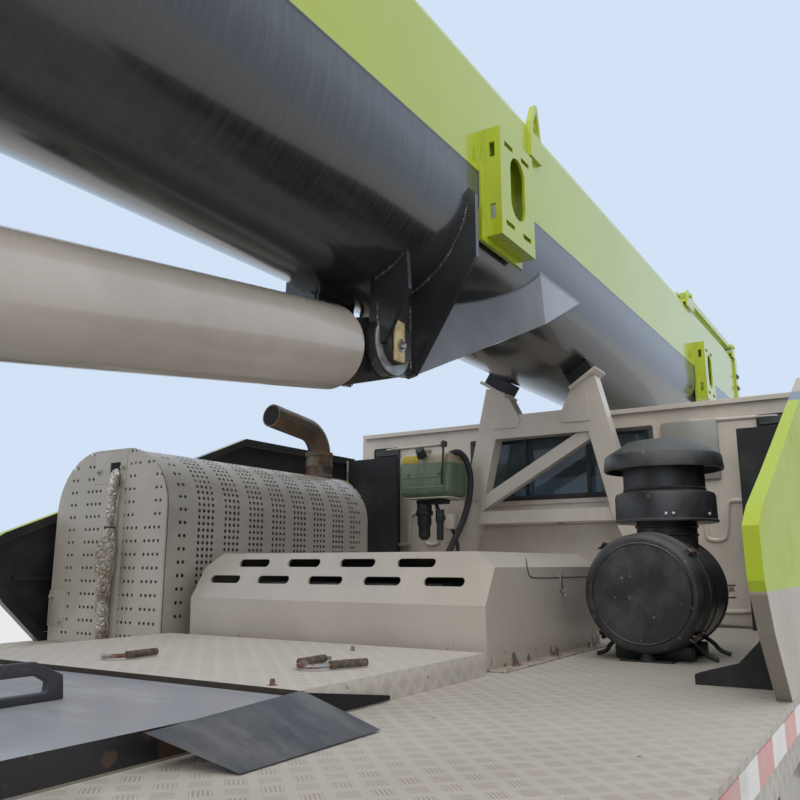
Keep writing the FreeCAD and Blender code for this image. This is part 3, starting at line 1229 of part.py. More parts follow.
def side_bracket(name, rear):
    """A box of plate on the boom's right side with an oval hole and slots, for the stowed jib."""
    half, low = s.boom_width / 2, s.boom_bottom + 222
    x0, x1, outer, high = rear, rear + s.bracket_length, -s.bracket_reach, low + 400
    box = block(name, (x0, x1), (outer, -half + 8), (low, high))
    room = block(name + "_room", (x0 + 10, x1 - 10), (outer + 10, -half + 20), (low + 10, high - 10))
    middle, centre = (x0 + x1) / 2, low + 215
    holes = [room, block(name + "_oval", (middle - 62, middle + 62), (outer - 5, outer + 15), (centre - 55, centre + 55))]
    for end in (-1, 1):
        holes.append(round_bar(name + "_oval_end", "y", (middle, centre + end * 55), 62, outer - 5, outer + 15))
    for x in (x0 + 35, x1 - 105):
        for z in (low + 45, high - 60):
            holes.append(block(name + "_slot", (x, x + 70), (outer - 5, outer + 15), (z, z + 18)))
    for z in (low + 60, high - 110):
        holes.append(block(name + "_side_slot", (x0 - 5, x0 + 15), (outer + 22, outer + 42), (z, z + 55)))
    pad = block(name + "_pad", (x0 - 42, x1 + 12), (-half - 9, -half + 6), (low - 25, low + 330))
    return fuse(name + "_mounted", [cut(name + "_box", box, holes), pad])


def jib_link():
    """A square link lies along the boom's top right edge, pinned between two forks; it swings the stowed jib out."""
    half, top = s.boom_width / 2, s.boom_bottom + s.boom_height
    y = -half + 22
    rear, front = s.lift_pin_x + 3330, s.boom_front - 120
    pieces = [block("link_bar", (rear, front), (y - 22, y + 22), (top + 28, top + 70))]
    for name, x, long in (("rear", rear - 60, 190), ("front", front - 70, 110)):
        for side in (-1, 1):
            cheek = (y + 28, y + 40) if side > 0 else (y - 40, y - 28)
            pieces.append(prism("link_cheek_" + name, "xz", [
                (x, top - 40), (x, top + 50), (x + 25, top + 75), (x + long - 25, top + 75), (x + long, top + 50),
                (x + long, top - 40)], *cheek))
        pieces.append(round_bar("link_pin_" + name, "y", (x + long / 2, top + 49), 14, y - 52, y + 52))
        pieces.append(block("link_seat_" + name, (x, x + long), (y - 40, y + 40), (top - 12, top + 8)))
    return pieces


def lifting_loop():
    """A pointed eye plate welded to the top edge of the boom's right side."""
    half, top = s.boom_width / 2, s.boom_bottom + s.boom_height
    x = s.lift_pin_x + 690
    outside = prism("loop_outside", "xz", [(x - 70, top - 170), (x - 55, top - 10), (x - 12, top + 75), (x + 12, top + 75),
                                           (x + 40, top - 60), (x + 40, top - 170)], -half - 18, -half + 6)
    hole = prism("loop_hole", "xz", [(x - 42, top - 60), (x - 36, top - 12), (x, top + 48), (x + 18, top - 30),
                                     (x + 18, top - 60)], -half - 30, -half + 20)
    return cut("lifting_loop", outside, [hole])


def boom():
    """Four nested sections of U section; each mouth has a collar that guides the next one."""
    half, top = section_size(0)
    rear = s.boom_foot_x - s.boom_tail
    skin = s.boom_wall
    neck = collar_front(0) - s.collar_depth
    hollow = u_bar("base_hollow", half - skin, top - skin, rear + 30, neck + 1)
    pieces = [u_bar("base_skin", half, top, rear, neck + 1), collar("base_collar", 0)]
    lug_in = s.lift_eye_half + s.run_gap
    pieces += lug_structure(lug_in)
    for side in (-1, 1):
        outer = side * (lug_in + s.lift_lug)
        cap = (outer - side, outer + side * 26)
        cap = cap if side > 0 else (cap[1], cap[0])
        pieces.append(round_bar("lift_pin_cap", "y", (s.lift_pin_x, s.lift_pin_z), s.lift_pin_radius + 6, *cap))
        y = (half - 1, s.cheek_in - 6) if side > 0 else (-(s.cheek_in - 6), -half + 1)
        pieces.append(round_bar("foot_plate", "y", (s.boom_foot_x, s.boom_foot_z), 150, *y))
        pin = (half - 12, s.cheek_in + s.cheek_plate + 60)
        pin = pin if side > 0 else (-pin[1], -pin[0])
        pieces.append(round_bar("foot_pin", "y", (s.boom_foot_x, s.boom_foot_z), 60, *pin))
    pieces += [side_bracket("bracket_rear", s.bracket_rear), side_bracket("bracket_front", s.bracket_rear + 3230),
               lifting_loop()] + jib_link()
    base = cut("boom_base", fuse("base_pieces", pieces), [hollow] + mouth("base_mouth", 0))
    node("boom_base", base)
    for label, rear_end, row in SECTIONS:
        half, top = section_size(row)
        neck = collar_front(row) - s.collar_depth
        inner = u_bar(label + "_hollow", half - skin, top - skin, rear_end + 20, neck + 1)
        parts = [u_bar(label + "_skin", half, top, rear_end, neck + 1)]
        holes = [inner]
        if row < 3:
            parts.append(collar(label + "_collar", row))
            holes += mouth(label + "_mouth", row)
        else:
            parts += head_pieces(row)
        node(label, cut(label, fuse(label + "_pieces", parts), holes))
    head_sheaves()


def head_pieces(row):
    """The boom's head: a closed box that narrows to two cheeks with the sheave pins between them."""
    front = collar_front(row) - s.collar_depth
    half, top = section_size(row)
    low = boom_axis_z() - half
    sheave_z = s.head_sheave_z
    box = u_bar("head_box", half, top, front, front + 60)
    pieces = [box]
    for side in (-1, 1):
        y = (210, 235) if side > 0 else (-235, -210)
        pieces.append(prism("head_cheek", "xz", [
            (front + 20, low + 40), (s.head_front - 150, sheave_z - 60), (s.head_front + 40, sheave_z - 60),
            (s.head_front + 80, sheave_z + 60), (s.head_front - 40, low + 490), (front + 160, top - 20),
            (front + 20, top - 40)], *y))
    pieces.append(round_bar("head_pin", "y", (s.head_front, sheave_z), 40, -250, 250))
    pieces.append(block("head_brace", (front + 200, front + 240), (-211, 211), (low + 44, low + 344)))
    return pieces


def head_sheaves():
    """Four rope sheaves on the head pin and the hook block that hangs from them on its rope falls."""
    x, z = s.head_front, s.head_sheave_z
    wheels_ = []
    for y in (-150, -50, 50, 150):
        wheels_.append(revolved("sheave", "y", (x, y, z), [
            (40 + s.pin_gap, -28), (s.sheave_radius, -28), (s.sheave_radius - 26, 0), (s.sheave_radius, 28),
            (40 + s.pin_gap, 28)]))
    node("head_sheaves", group("head_sheaves", wheels_))
    low = z - 780
    pieces = [
        prism("block_cheek", "xz", [(x - 90, low - 60), (x - 90, low + 120), (x, low + 180), (x + 90, low + 120),
                                    (x + 90, low - 60)], -95, -75),
        prism("block_cheek_left", "xz", [(x - 90, low - 60), (x - 90, low + 120), (x, low + 180),
                                         (x + 90, low + 120), (x + 90, low - 60)], 75, 95),
        round_bar("block_sheave", "y", (x, low + 60), 85, -70, 70),
        round_bar("block_pin", "y", (x, low + 60), 30, -105, 105),
        block("block_trunnion", (x - 70, x + 70), (-96, 96), (low - 120, low - 55)),
        round_bar("hook_shank", "z", (x, 0), 32, low - 230, low - 100),
        pipe("hook", [(x, 0, low - 220), (x, 0, low - 300), (x - 110, 0, low - 380), (x, 0, low - 470),
                      (x + 120, 0, low - 370), (x + 70, 0, low - 300)], 26, 40),
    ]
    for side in (-1, 1):
        for y in (-50, 50):
            pieces.append(pipe("rope_fall", [(x + side * 80, y, low + 60), (x + side * (s.sheave_radius - 11.5), y, z)], 9, 1))
    node("hook_block", fuse("hook_block", pieces))


def lift_cylinder():
    """The luffing cylinder: barrel on the turntable, rod's eye between the boom's lugs."""
    run = s.lift_pin_x - s.lift_foot_x
    rise = s.lift_pin_z - s.lift_foot_z
    length = math.hypot(float(run), float(rise))
    slope = math.degrees(math.atan2(float(rise), float(run)))
    spot = Placement(Vector(float(s.lift_foot_x), 0, float(s.lift_foot_z)), Rotation(Vector(0, -1, 0), slope))
    eye = s.lift_eye_half
    end = length - 125
    tube = revolved("barrel_tube", "x", (0, 0, 0), [
        (0, 200), (s.barrel_radius - 14, 200), (s.barrel_radius, 214), (s.barrel_radius, end - 40),
        (s.barrel_radius - 7, end - 34), (s.barrel_radius - 7, end - 22), (s.barrel_radius - 30, end), (0, end)])
    foot = round_bar("barrel_foot", "y", (0, 0), 110, -eye, eye)
    stem = block("barrel_stem", (0, 205), (-eye, eye), (-100, 100))
    bore = round_bar("barrel_bore", "x", (0, 0), s.rod_radius + s.seat_gap, 260, length)
    pin_hole = round_bar("barrel_pin_hole", "y", (0, 0), s.lift_pin_radius + s.pin_gap, -200, 200)
    barrel = cut("lift_barrel", fuse("barrel_pieces", [tube, foot, stem]), [bore, pin_hole])
    barrel.Placement = spot
    node("lift_barrel", barrel)
    rod = round_bar("rod_bar", "x", (0, 0), s.rod_radius, 270, length - 60)
    head = round_bar("rod_head", "y", (length, 0), 105, -eye, eye)
    collar_ = block("rod_neck", (length - 118, length), (-eye + 10, eye - 10), (-85, 85))
    whole = fuse("lift_rod", [rod, head, collar_])
    whole.Placement = spot
    node("lift_rod", whole)


BUILDERS = (
    frame, deck, axles, knuckles, wheels, outriggers, cab, doors, front_end, hood, muffler, cleaner, boom_rest,
    coolant_tank, fairings, side_boxes, turntable, counterweight, operator_station, winch,
    lift_cylinder, boom,
)
for build in BUILDERS:
    build()
doc.recompute()

faults = []
for item in doc.Objects:
    if "Invalid" in item.State or "Error" in item.State:
        faults.append("%s is in state %s" % (item.Label, item.State))
    shape = getattr(item, "Shape", None)
    if shape is not None and item in NODES and (shape.isNull() or not shape.isValid() or not shape.Solids):
        faults.append("%s has no valid solid" % item.Label)
if faults:
    raise RuntimeError("; ".join(faults))

os.makedirs("parts", exist_ok=True)
for feature in NODES:
    feature.Shape.exportStep("parts/%s.step" % feature.Label)
    print(feature.Label, len(feature.Shape.Solids), round(feature.Shape.Volume / 1e9, 4))
print(len(NODES), "sub-parts")
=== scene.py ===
import math

import bmesh
import bpy
from mathutils import Matrix, Vector


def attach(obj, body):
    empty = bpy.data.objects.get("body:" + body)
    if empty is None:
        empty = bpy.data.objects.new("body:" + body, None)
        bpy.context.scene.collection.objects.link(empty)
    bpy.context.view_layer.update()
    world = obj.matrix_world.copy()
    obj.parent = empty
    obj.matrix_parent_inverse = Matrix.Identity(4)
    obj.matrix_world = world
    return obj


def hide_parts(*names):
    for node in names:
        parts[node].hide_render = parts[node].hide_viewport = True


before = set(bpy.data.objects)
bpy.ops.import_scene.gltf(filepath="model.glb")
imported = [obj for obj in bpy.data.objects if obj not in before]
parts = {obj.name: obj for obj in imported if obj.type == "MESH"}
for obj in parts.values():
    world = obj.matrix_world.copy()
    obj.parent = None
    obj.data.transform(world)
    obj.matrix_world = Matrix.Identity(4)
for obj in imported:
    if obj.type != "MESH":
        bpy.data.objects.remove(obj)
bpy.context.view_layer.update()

# The ladder frame, its cross members and the outrigger boxes are welded from thick plate. They are sprayed in
# one warm grey coat, and road dirt lies on whatever faces up.


class Line:
    """One socket of a finish, so that what varies over a surface is written as plain arithmetic."""

    def __init__(self, finish, socket):
        self.finish = finish
        self.socket = socket

    def reckon(self, operation, first, second):
        return self.finish.add("ShaderNodeMath", {"operation": operation}, {0: first, 1: second})

    def __add__(self, other):
        return self.reckon("ADD", self, other)

    def __radd__(self, other):
        return self.reckon("ADD", other, self)

    def __sub__(self, other):
        return self.reckon("SUBTRACT", self, other)

    def __rsub__(self, other):
        return self.reckon("SUBTRACT", other, self)

    def __mul__(self, other):
        return self.reckon("MULTIPLY", self, other)

    def __rmul__(self, other):
        return self.reckon("MULTIPLY", other, self)

    def __truediv__(self, other):
        return self.reckon("DIVIDE", self, other)

    def __rtruediv__(self, other):
        return self.reckon("DIVIDE", other, self)


class Finish:
    """A coat of paint, rubber, glass or bare metal, made of one shader and what varies it."""

    def __init__(self, name, colour, roughness, **fixed):
        self.material = bpy.data.materials.new(name)
        self.material.use_nodes = True
        self.nodes = self.material.node_tree.nodes
        self.shader = self.nodes["Principled BSDF"]
        self.colour = (*colour, 1.0)
        self.set("Base Color", self.colour)
        self.set("Roughness", roughness)
        for socket, value in fixed.items():
            self.set(socket.replace("_", " ").title().replace("Ior", "IOR"), value)
        self.place = self.add("ShaderNodeTexCoord", {}, {}, "Object")
        self.facing = self.add("ShaderNodeTexCoord", {}, {}, "Normal")

    def add(self, kind, settings, values, output=0):
        made = self.nodes.new(kind)
        for setting, value in settings.items():
            setattr(made, setting, value)
        for socket, value in values.items():
            self.feed(made.inputs[socket], value)
        return Line(self, made.outputs[output])

    def feed(self, socket, value):
        if isinstance(value, Line):
            self.material.node_tree.links.new(value.socket, socket)
        else:
            socket.default_value = value

    def set(self, socket, value):
        self.feed(self.shader.inputs[socket], value)

    def axes(self, vector):
        """The three numbers of a vector."""
        split = self.add("ShaderNodeSeparateXYZ", {}, {0: vector})
        return [Line(self, output) for output in split.socket.node.outputs]

    def cloud(self, scale, detail=2.0, stretch=(1, 1, 1), rough=0.5):
        """Soft patches, drawn out along an axis by a small number there."""
        spread = self.add("ShaderNodeVectorMath", {"operation": "MULTIPLY"}, {0: self.place, 1: stretch})
        return self.add("ShaderNodeTexNoise", {},
                        {"Vector": spread, "Scale": scale, "Detail": detail, "Roughness": rough})

    def step(self, value, low, high):
        """0 below low, 1 above high, smooth between them."""
        return self.add("ShaderNodeMapRange", {"interpolation_type": "SMOOTHSTEP"},
                        {"Value": value, "From Min": low, "From Max": high})

    def mix(self, mask, under, over):
        under = (*under, 1.0) if isinstance(under, tuple) and len(under) == 3 else under
        over = (*over, 1.0) if isinstance(over, tuple) and len(over) == 3 else over
        return self.add("ShaderNodeMix", {"data_type": "RGBA"}, {0: mask, 6: under, 7: over}, 2)

    def raise_by(self, height, strength, distance):
        """Relief, given as a height from 0 to 1 and its depth in metres."""
        self.set("Normal", self.add("ShaderNodeBump", {}, {
            "Strength": strength, "Distance": distance, "Height": height}))

    def on(self, *names):
        """Puts the finish on nodes of the frame, in place of the colour they were packed with."""
        for name in names:
            for spot in parts[name].material_slots:
                spot.material = self.material


def sprayed(name, colour, roughness, dust=0.5, dust_colour=(0.42, 0.36, 0.28), chips=0.0, coat=0.3, streaks=0.25):
    """Two-pack machine paint: slight orange peel, pale dust on top faces, run marks on upright ones, chips."""
    paint = Finish(name, colour, roughness, coat_weight=coat, coat_roughness=0.12, specular_ior_level=0.45)
    up = paint.axes(paint.facing)[2]
    patches = paint.cloud(2.3, 5.0, rough=0.62)
    fine = paint.cloud(38.0, 3.0)
    runs = paint.cloud(7.0, 4.0, (1.0, 1.0, 0.12), 0.6)
    settled = paint.step(up, 0.35, 0.95) * paint.step(patches, 0.25, 0.7) * dust
    run_marks = paint.step(runs, 0.5, 0.8) * (1.0 - paint.step(up, 0.3, 0.8)) * streaks
    shade = paint.mix(paint.step(patches, 0.3, 0.7), tuple(c * 0.86 for c in colour), tuple(c * 1.08 for c in colour))
    shade = paint.mix(settled + run_marks, shade, dust_colour)
    if chips:
        bare = paint.step(paint.cloud(19.0, 6.0, rough=0.72), 0.735 - 0.05 * chips, 0.755 - 0.05 * chips)
        shade = paint.mix(bare, shade, (0.16, 0.075, 0.04))
    paint.shade, paint.gloss = shade, roughness + 0.3 * settled + 0.16 * run_marks + 0.07 * fine
    paint.set("Base Color", shade)
    paint.set("Roughness", paint.gloss)
    paint.raise_by(fine + 0.35 * patches, 0.18, 0.0012)
    return paint


frame_paint = sprayed("frame_paint", (0.30, 0.265, 0.225), 0.42, dust=0.75, chips=0.5)
frame_paint.on("outrigger_beam_front_left", "outrigger_beam_front_right", "outrigger_beam_rear_left",
               "outrigger_beam_rear_right")

# Where the front outrigger box rises through the deck its top plate is scuffed dark steel, and its edge is black.
box_top = sprayed("box_top", (0.30, 0.265, 0.225), 0.42, dust=0.75, chips=0.5)
x, y, z = box_top.axes(box_top.place)
level = box_top.step(z, 1.3215, 1.3225)
flat = box_top.step(box_top.axes(box_top.facing)[2], 0.6, 0.8)
scuffs = box_top.step(box_top.cloud(4.0, 6.0, (1.0, 0.3, 1.0), 0.7), 0.42, 0.72)
edge_rust = box_top.step(box_top.cloud(22.0, 4.0), 0.55, 0.62)
steel_top = box_top.mix(scuffs * 0.8, (0.31, 0.315, 0.35), (0.58, 0.575, 0.57))
dark_edge = box_top.mix(edge_rust, (0.012, 0.012, 0.013), (0.06, 0.032, 0.02))
box_top.set("Base Color", box_top.mix(level, box_top.shade, box_top.mix(flat, dark_edge, steel_top)))
box_top.on("chassis_frame")

# Axle beams, knuckles and the sill parts are castings in thin black paint, dulled by mud and brake dust.
casting_black = sprayed("casting_black", (0.028, 0.027, 0.026), 0.55, dust=0.8, chips=1.0, coat=0.05, streaks=0.5)
casting_black.on("axles", "knuckle_left", "knuckle_right")

# The jacks' legs are ground steel tubes that carry a film of grease, with a dished foot welded below.
jack_steel = Finish("jack_steel", (0.42, 0.42, 0.42), 0.3, metallic=0.9)
grease = jack_steel.step(jack_steel.cloud(6.0, 4.0, (1, 1, 0.3)), 0.45, 0.7)
jack_steel.set("Base Color", jack_steel.mix(grease, (0.45, 0.45, 0.44), (0.13, 0.11, 0.085)))
jack_steel.set("Roughness", 0.24 + 0.3 * grease)
jack_steel.raise_by(jack_steel.cloud(60.0, 2.0, (1, 1, 0.05)), 0.15, 0.0006)
jack_steel.on("outrigger_leg_front_left", "outrigger_leg_front_right", "outrigger_leg_rear_left",
              "outrigger_leg_rear_right")

# Steel disc wheels are pressed and rolled, then painted silver grey. Each has a ring of hand holes and ten nuts on
# its hub, and rust starts round both. Twin wheels are bolted back to back.


def settle(name, mesh, finish, body, crisp=35.0):
    """Makes a finished mesh a piece that rides on a body."""
    bmesh.ops.remove_doubles(mesh, verts=mesh.verts, dist=1e-5)
    bmesh.ops.recalc_face_normals(mesh, faces=mesh.faces)
    data = bpy.data.meshes.new(name)
    mesh.to_mesh(data)
    mesh.free()
    data.materials.append(finish.material)
    data.polygons.foreach_set("use_smooth", [True] * len(data.polygons))
    data.set_sharp_from_angle(angle=math.radians(crisp))
    piece = bpy.data.objects.new(name, data)
    bpy.context.scene.collection.objects.link(piece)
    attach(piece, body)
    return piece


def lump(mesh, middle, size, rounding=0.002, turn=None, steps=2):
    """A block with rounded edges."""
    spot = Matrix.LocRotScale(Vector(middle), turn, Vector(size))
    corners = bmesh.ops.create_cube(mesh, size=1.0, matrix=spot)["verts"]
    edges = list({edge for corner in corners for edge in corner.link_edges})
    bmesh.ops.bevel(mesh, geom=edges, offset=rounding, offset_type="OFFSET", affect="EDGES", segments=steps,
                    profile=0.5, material=-1)


def turned(mesh, profile, centre, axis, steps=40):
    """A round part: (radius, distance along the axis) points, spun a full turn."""
    centre, axis = Vector(centre), Vector(axis).normalized()
    side = axis.orthogonal().normalized()
    points = [mesh.verts.new(centre + side * radius + axis * along) for radius, along in profile]
    edges = [mesh.edges.new(pair) for pair in zip(points, points[1:])]
    bmesh.ops.spin(mesh, geom=points + edges, cent=centre, axis=axis, angle=2 * math.pi, steps=steps,
                   use_merge=True, use_duplicate=False)


def rod(mesh, points, thickness, swell=None, sides=3):
    """A round bar, hose or weld bead along a smooth line."""
    line = bpy.data.curves.new("line", "CURVE")
    line.dimensions, line.bevel_depth, line.bevel_resolution, line.use_fill_caps = "3D", thickness, sides, True
    line.resolution_u = 8
    spline = line.splines.new("NURBS")
    spline.points.add(len(points) - 1)
    for index, point in enumerate(points):
        spline.points[index].co = (*point, 1.0)
        spline.points[index].radius = swell[index] if swell else 1.0
    spline.order_u = 3
    spline.use_endpoint_u = True
    holder = bpy.data.objects.new("line", line)
    shape = bpy.data.meshes.new_from_object(holder)
    mesh.from_mesh(shape)
    bpy.data.objects.remove(holder)
    bpy.data.meshes.remove(shape)


def bolt(mesh, spot, axis, across=0.019):
    """A hexagon head on its washer."""
    axis = Vector(axis).normalized()
    turned(mesh, [(0, 0.0), (across * 0.85, 0.0), (across * 0.85, 0.003), (0, 0.003)], spot, axis, 20)
    turned(mesh, [(0, 0.002), (across * 0.5, 0.002), (across * 0.5, 0.011), (across * 0.42, 0.0135), (0, 0.0135)],
           spot, axis, 6)

wheel_silver = sprayed("wheel_silver", (0.46, 0.47, 0.48), 0.36, dust=0.6, chips=1.4, streaks=0.35)
x, y, z = wheel_silver.axes(wheel_silver.place)
axle_x = 1.96 * wheel_silver.step(x, 0.0, 0.01) - 1.765 * (
    wheel_silver.step(x, -2.45, -2.44) - wheel_silver.step(x, 0.0, 0.01)) - 3.115 * (
    1.0 - wheel_silver.step(x, -2.45, -2.44))
ahead_of, above = x - axle_x, z - 0.54
spread = wheel_silver.add("ShaderNodeMath", {"operation": "SQRT"}, {0: ahead_of * ahead_of + above * above})
turn = wheel_silver.add("ShaderNodeMath", {"operation": "ARCTAN2"}, {0: above, 1: ahead_of})
petals = wheel_silver.add("ShaderNodeMath", {"operation": "COSINE"}, {0: turn * 8.0})
off_ring = wheel_silver.add("ShaderNodeMath", {"operation": "ABSOLUTE"}, {0: spread - 0.219})
# The hand holes are painted near-black: painted shade seen through them.
hole_shade = wheel_silver.step(petals - off_ring * 22.0, 0.34, 0.40)
rust_ring = wheel_silver.step(spread, 0.195, 0.2) * wheel_silver.step(wheel_silver.cloud(24.0, 4.0), 0.5, 0.66)
wheel_shade = wheel_silver.mix(rust_ring * 0.5, wheel_silver.shade, (0.20, 0.095, 0.045))
wheel_silver.set("Base Color", wheel_silver.mix(hole_shade, wheel_shade, (0.008, 0.008, 0.008)))
wheel_silver.set("Roughness", wheel_silver.gloss + 0.4 * hole_shade)
wheel_silver.on("front_rim_left", "front_rim_right", "middle_rims_left", "middle_rims_right", "rear_rims_left",
                "rear_rims_right")
nut_steel = Finish("nut_steel", (0.24, 0.23, 0.22), 0.45, metallic=0.6)
nut_rust = nut_steel.step(nut_steel.cloud(60.0, 3.0), 0.42, 0.6)
nut_steel.set("Base Color", nut_steel.mix(nut_rust, (0.26, 0.25, 0.24), (0.16, 0.075, 0.04)))
nut_steel.set("Roughness", 0.4 + 0.3 * nut_rust)

# Radial truck tyres are carbon-black rubber. The steered ones have five ribs round them, the driven ones four rows
# of blocks, and dry mud sits between these and greys the side walls.
rubber = Finish("rubber", (0.022, 0.021, 0.02), 0.78, specular_ior_level=0.3)
mud = rubber.step(rubber.cloud(9.0, 5.0, rough=0.65), 0.42, 0.72)
rubber.set("Base Color", rubber.mix(mud * 0.4, (0.024, 0.023, 0.022), (0.13, 0.112, 0.09)))
rubber.set("Roughness", 0.66 + 0.26 * mud)
rubber.raise_by(rubber.cloud(120.0, 3.0) + 1.5 * mud, 0.3, 0.0015)
rib_wall = [(0.264, 0.100), (0.270, 0.118), (0.284, 0.126), (0.30, 0.1285), (0.306, 0.1345), (0.34, 0.1385),
            (0.40, 0.1422), (0.428, 0.1415), (0.431, 0.1425), (0.437, 0.1425), (0.44, 0.1405), (0.468, 0.1365),
            (0.50, 0.128), (0.522, 0.119)]
rib_tread = [(0.536, 0.112), (0.539, 0.104), (0.540, 0.082), (0.528, 0.079), (0.528, 0.071), (0.5405, 0.068),
             (0.540, 0.030), (0.528, 0.027), (0.528, 0.019), (0.5405, 0.016)]
block_tread = [(0.5275, 0.112), (0.528, 0.0)]


def grow_tyre(mesh, centre_x, middle_y, driven):
    """A tyre round its own axle line, with blocks set on the driven ones."""
    half = rib_wall + (block_tread[:1] if driven else rib_tread)
    profile = half + [(radius, -along) for radius, along in reversed(half)] + half[:1]
    turned(mesh, profile, (centre_x, middle_y, 0.54), (0, 1, 0), 64)
    if not driven:
        return
    for row, (along, wide) in enumerate(((-0.093, 0.042), (-0.034, 0.05), (0.034, 0.05), (0.093, 0.042))):
        for step in range(42):
            angle = 2 * math.pi * (step + 0.5 * (row % 2)) / 42
            out = Vector((math.cos(angle), 0, math.sin(angle)))
            spot = Matrix.LocRotScale(Vector((centre_x, middle_y + along, 0.54)) + out * 0.5325,
                                      Matrix.Rotation(-angle, 3, "Y").to_quaternion(), Vector((0.0145, wide, 0.06)))
            bmesh.ops.create_cube(mesh, size=1.0, matrix=spot)


wheel_rows = (("front", "wheel_front", 1.96, (1.037,), 0.066, False),
              ("middle", "wheels_middle", -1.765, (0.752, 1.082), 0.0165, True),
              ("rear", "wheels_rear", -3.115, (0.752, 1.082), 0.0165, True))
for row, body, axle_line, rows_y, disc_face, driven in wheel_rows:
    for side_name, side in (("left", 1), ("right", -1)):
        cover = bmesh.new()
        for y in rows_y:
            grow_tyre(cover, axle_line, side * y, driven)
        tyre_piece = settle("%s_treads_%s" % (row, side_name), cover, rubber, "%s_%s" % (body, side_name), 30.0)
        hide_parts("%s_tyre%s_%s" % (row, "s" if driven else "", side_name))
        nuts = bmesh.new()
        middle = sum(rows_y) / len(rows_y)
        for step in range(10):
            angle = 2 * math.pi * step / 10
            bolt(nuts, (axle_line + 0.162 * math.cos(angle), side * (middle + disc_face - 0.0015),
                        0.54 + 0.162 * math.sin(angle)), (0, side, 0), 0.034)
        settle("%s_nuts_%s" % (row, side_name), nuts, nut_steel, "%s_%s" % (body, side_name), 30.0)

# The deck is folded tread plate, painted with the frame and worn pale by boots. Its bars stand in fives, turned
# by a right angle from one group to the next, and fine brown dirt stays between them.


def tread_plate(name, worn, dirt, wear):
    plate = Finish(name, worn, 0.6, specular_ior_level=0.4)
    x, y, z = plate.axes(plate.place)
    up = plate.step(plate.axes(plate.facing)[2], 0.4, 0.9)
    across = y + (1.0 - up) * z
    pitch = 0.043
    along_cell, across_cell = (x + across) * (0.7071 / pitch), (x - across) * (0.7071 / pitch)
    first, second = [plate.add("ShaderNodeMath", {"operation": "FLOOR"}, {0: cell}) for cell in (along_cell, across_cell)]
    odd = plate.add("ShaderNodeMath", {"operation": "PINGPONG"}, {0: first + second, 1: 1.0})
    u, v = along_cell - first - 0.5, across_cell - second - 0.5
    run, width = u * (1.0 - odd) + v * odd, v * (1.0 - odd) + u * odd
    size = plate.add("ShaderNodeMath", {"operation": "ABSOLUTE"}, {0: width})
    length = plate.add("ShaderNodeMath", {"operation": "ABSOLUTE"}, {0: run})
    wave = plate.add("ShaderNodeMath", {"operation": "COSINE"}, {0: width * (2 * math.pi * 7.4)})
    group = (1.0 - plate.step(size, 0.31, 0.35)) * (1.0 - plate.step(length, 0.28, 0.36))
    bars = plate.step(wave, -0.1, 0.75) * group
    patches = plate.cloud(1.7, 5.0, rough=0.6)
    scuffs = plate.cloud(14.0, 5.0, (1.0, 0.35, 1.0), 0.7)
    soil = plate.step(patches, 0.3, 0.72)
    shade = plate.mix(soil * 0.55, worn, tuple(c * 0.74 for c in worn))
    shade = plate.mix(plate.step(scuffs, 0.5, 0.78) * 0.35, shade, tuple(min(1.0, c * 1.22) for c in worn))
    shade = plate.mix(group * (1.0 - bars) * (0.2 + 0.35 * soil), shade, dirt)
    shade = plate.mix(bars * wear, shade, tuple(min(1.0, c * 1.12) for c in worn))
    spots = plate.step(plate.cloud(31.0, 2.0), 0.745, 0.77)
    shade = plate.mix(spots * 0.8, shade, (0.07, 0.035, 0.02))
    # The raised platform is painted lighter than the deck: painted light.
    platform_painted_light = plate.step(z, 1.34, 1.37)
    shade = plate.mix(platform_painted_light * 0.4, shade, tuple(min(1.0, c * 1.3) for c in worn))
    # The rear face of the platform's lip is painted dark: painted shade under its edge.
    lip_painted_shade = plate.step(0.0 - plate.axes(plate.facing)[0], 0.6, 0.8) * plate.step(x, -0.62, -0.615)
    lip_painted_shade = lip_painted_shade * (1.0 - plate.step(x, -0.605, -0.60))
    shade = plate.mix(lip_painted_shade, shade, (0.05, 0.04, 0.032))
    plate.set("Base Color", shade)
    plate.set("Roughness", 0.5 + 0.22 * soil + 0.1 * group)
    plate.raise_by(bars + 0.15 * scuffs, 0.55, 0.0022)
    return plate


deck_plate = tread_plate("deck_plate", (0.52, 0.485, 0.44), (0.25, 0.185, 0.13), 0.5)
deck_plate.on("deck")

# A pair of fold-down grips lies on the raised platform, and a loose steel flap bridges the step beside the grey
# plate over the front outrigger box.
bare_plate = Finish("bare_plate", (0.13, 0.135, 0.145), 0.34, metallic=0.35, coat_weight=0.2)
smears = bare_plate.cloud(5.0, 6.0, (1.0, 0.25, 1.0), 0.7)
worn = bare_plate.step(smears, 0.45, 0.75)
bare_plate.set("Base Color", bare_plate.mix(worn, (0.085, 0.09, 0.105), (0.25, 0.245, 0.235)))
bare_plate.set("Roughness", 0.28 + 0.3 * worn)
bare_plate.raise_by(smears, 0.3, 0.001)
flap = bmesh.new()
corners = [flap.verts.new(point) for point in (
    (-0.918, -0.713, 1.3225), (-0.968, -0.585, 1.3675), (-0.612, -0.566, 1.3765), (-0.588, -0.714, 1.3235))]
flap.faces.new(corners)
bmesh.ops.solidify(flap, geom=flap.faces, thickness=0.006)
bmesh.ops.bevel(flap, geom=flap.edges[:], offset=0.0015, offset_type="OFFSET", affect="EDGES", segments=1, profile=0.5,
                material=-1)
settle("loose_flap", flap, bare_plate, "chassis")
clip_steel = Finish("clip_steel", (0.30, 0.27, 0.25), 0.4, metallic=0.7)
clip_rust = clip_steel.step(clip_steel.cloud(40.0, 4.0), 0.42, 0.6)
clip_steel.set("Base Color", clip_steel.mix(clip_rust, (0.38, 0.36, 0.34), (0.17, 0.07, 0.045)))
clip_steel.set("Metallic", 0.8 - 0.6 * clip_rust)
clip_steel.set("Roughness", 0.35 + 0.35 * clip_rust)
sleeve_rust = Finish("sleeve_rust", (0.13, 0.07, 0.04), 0.7)
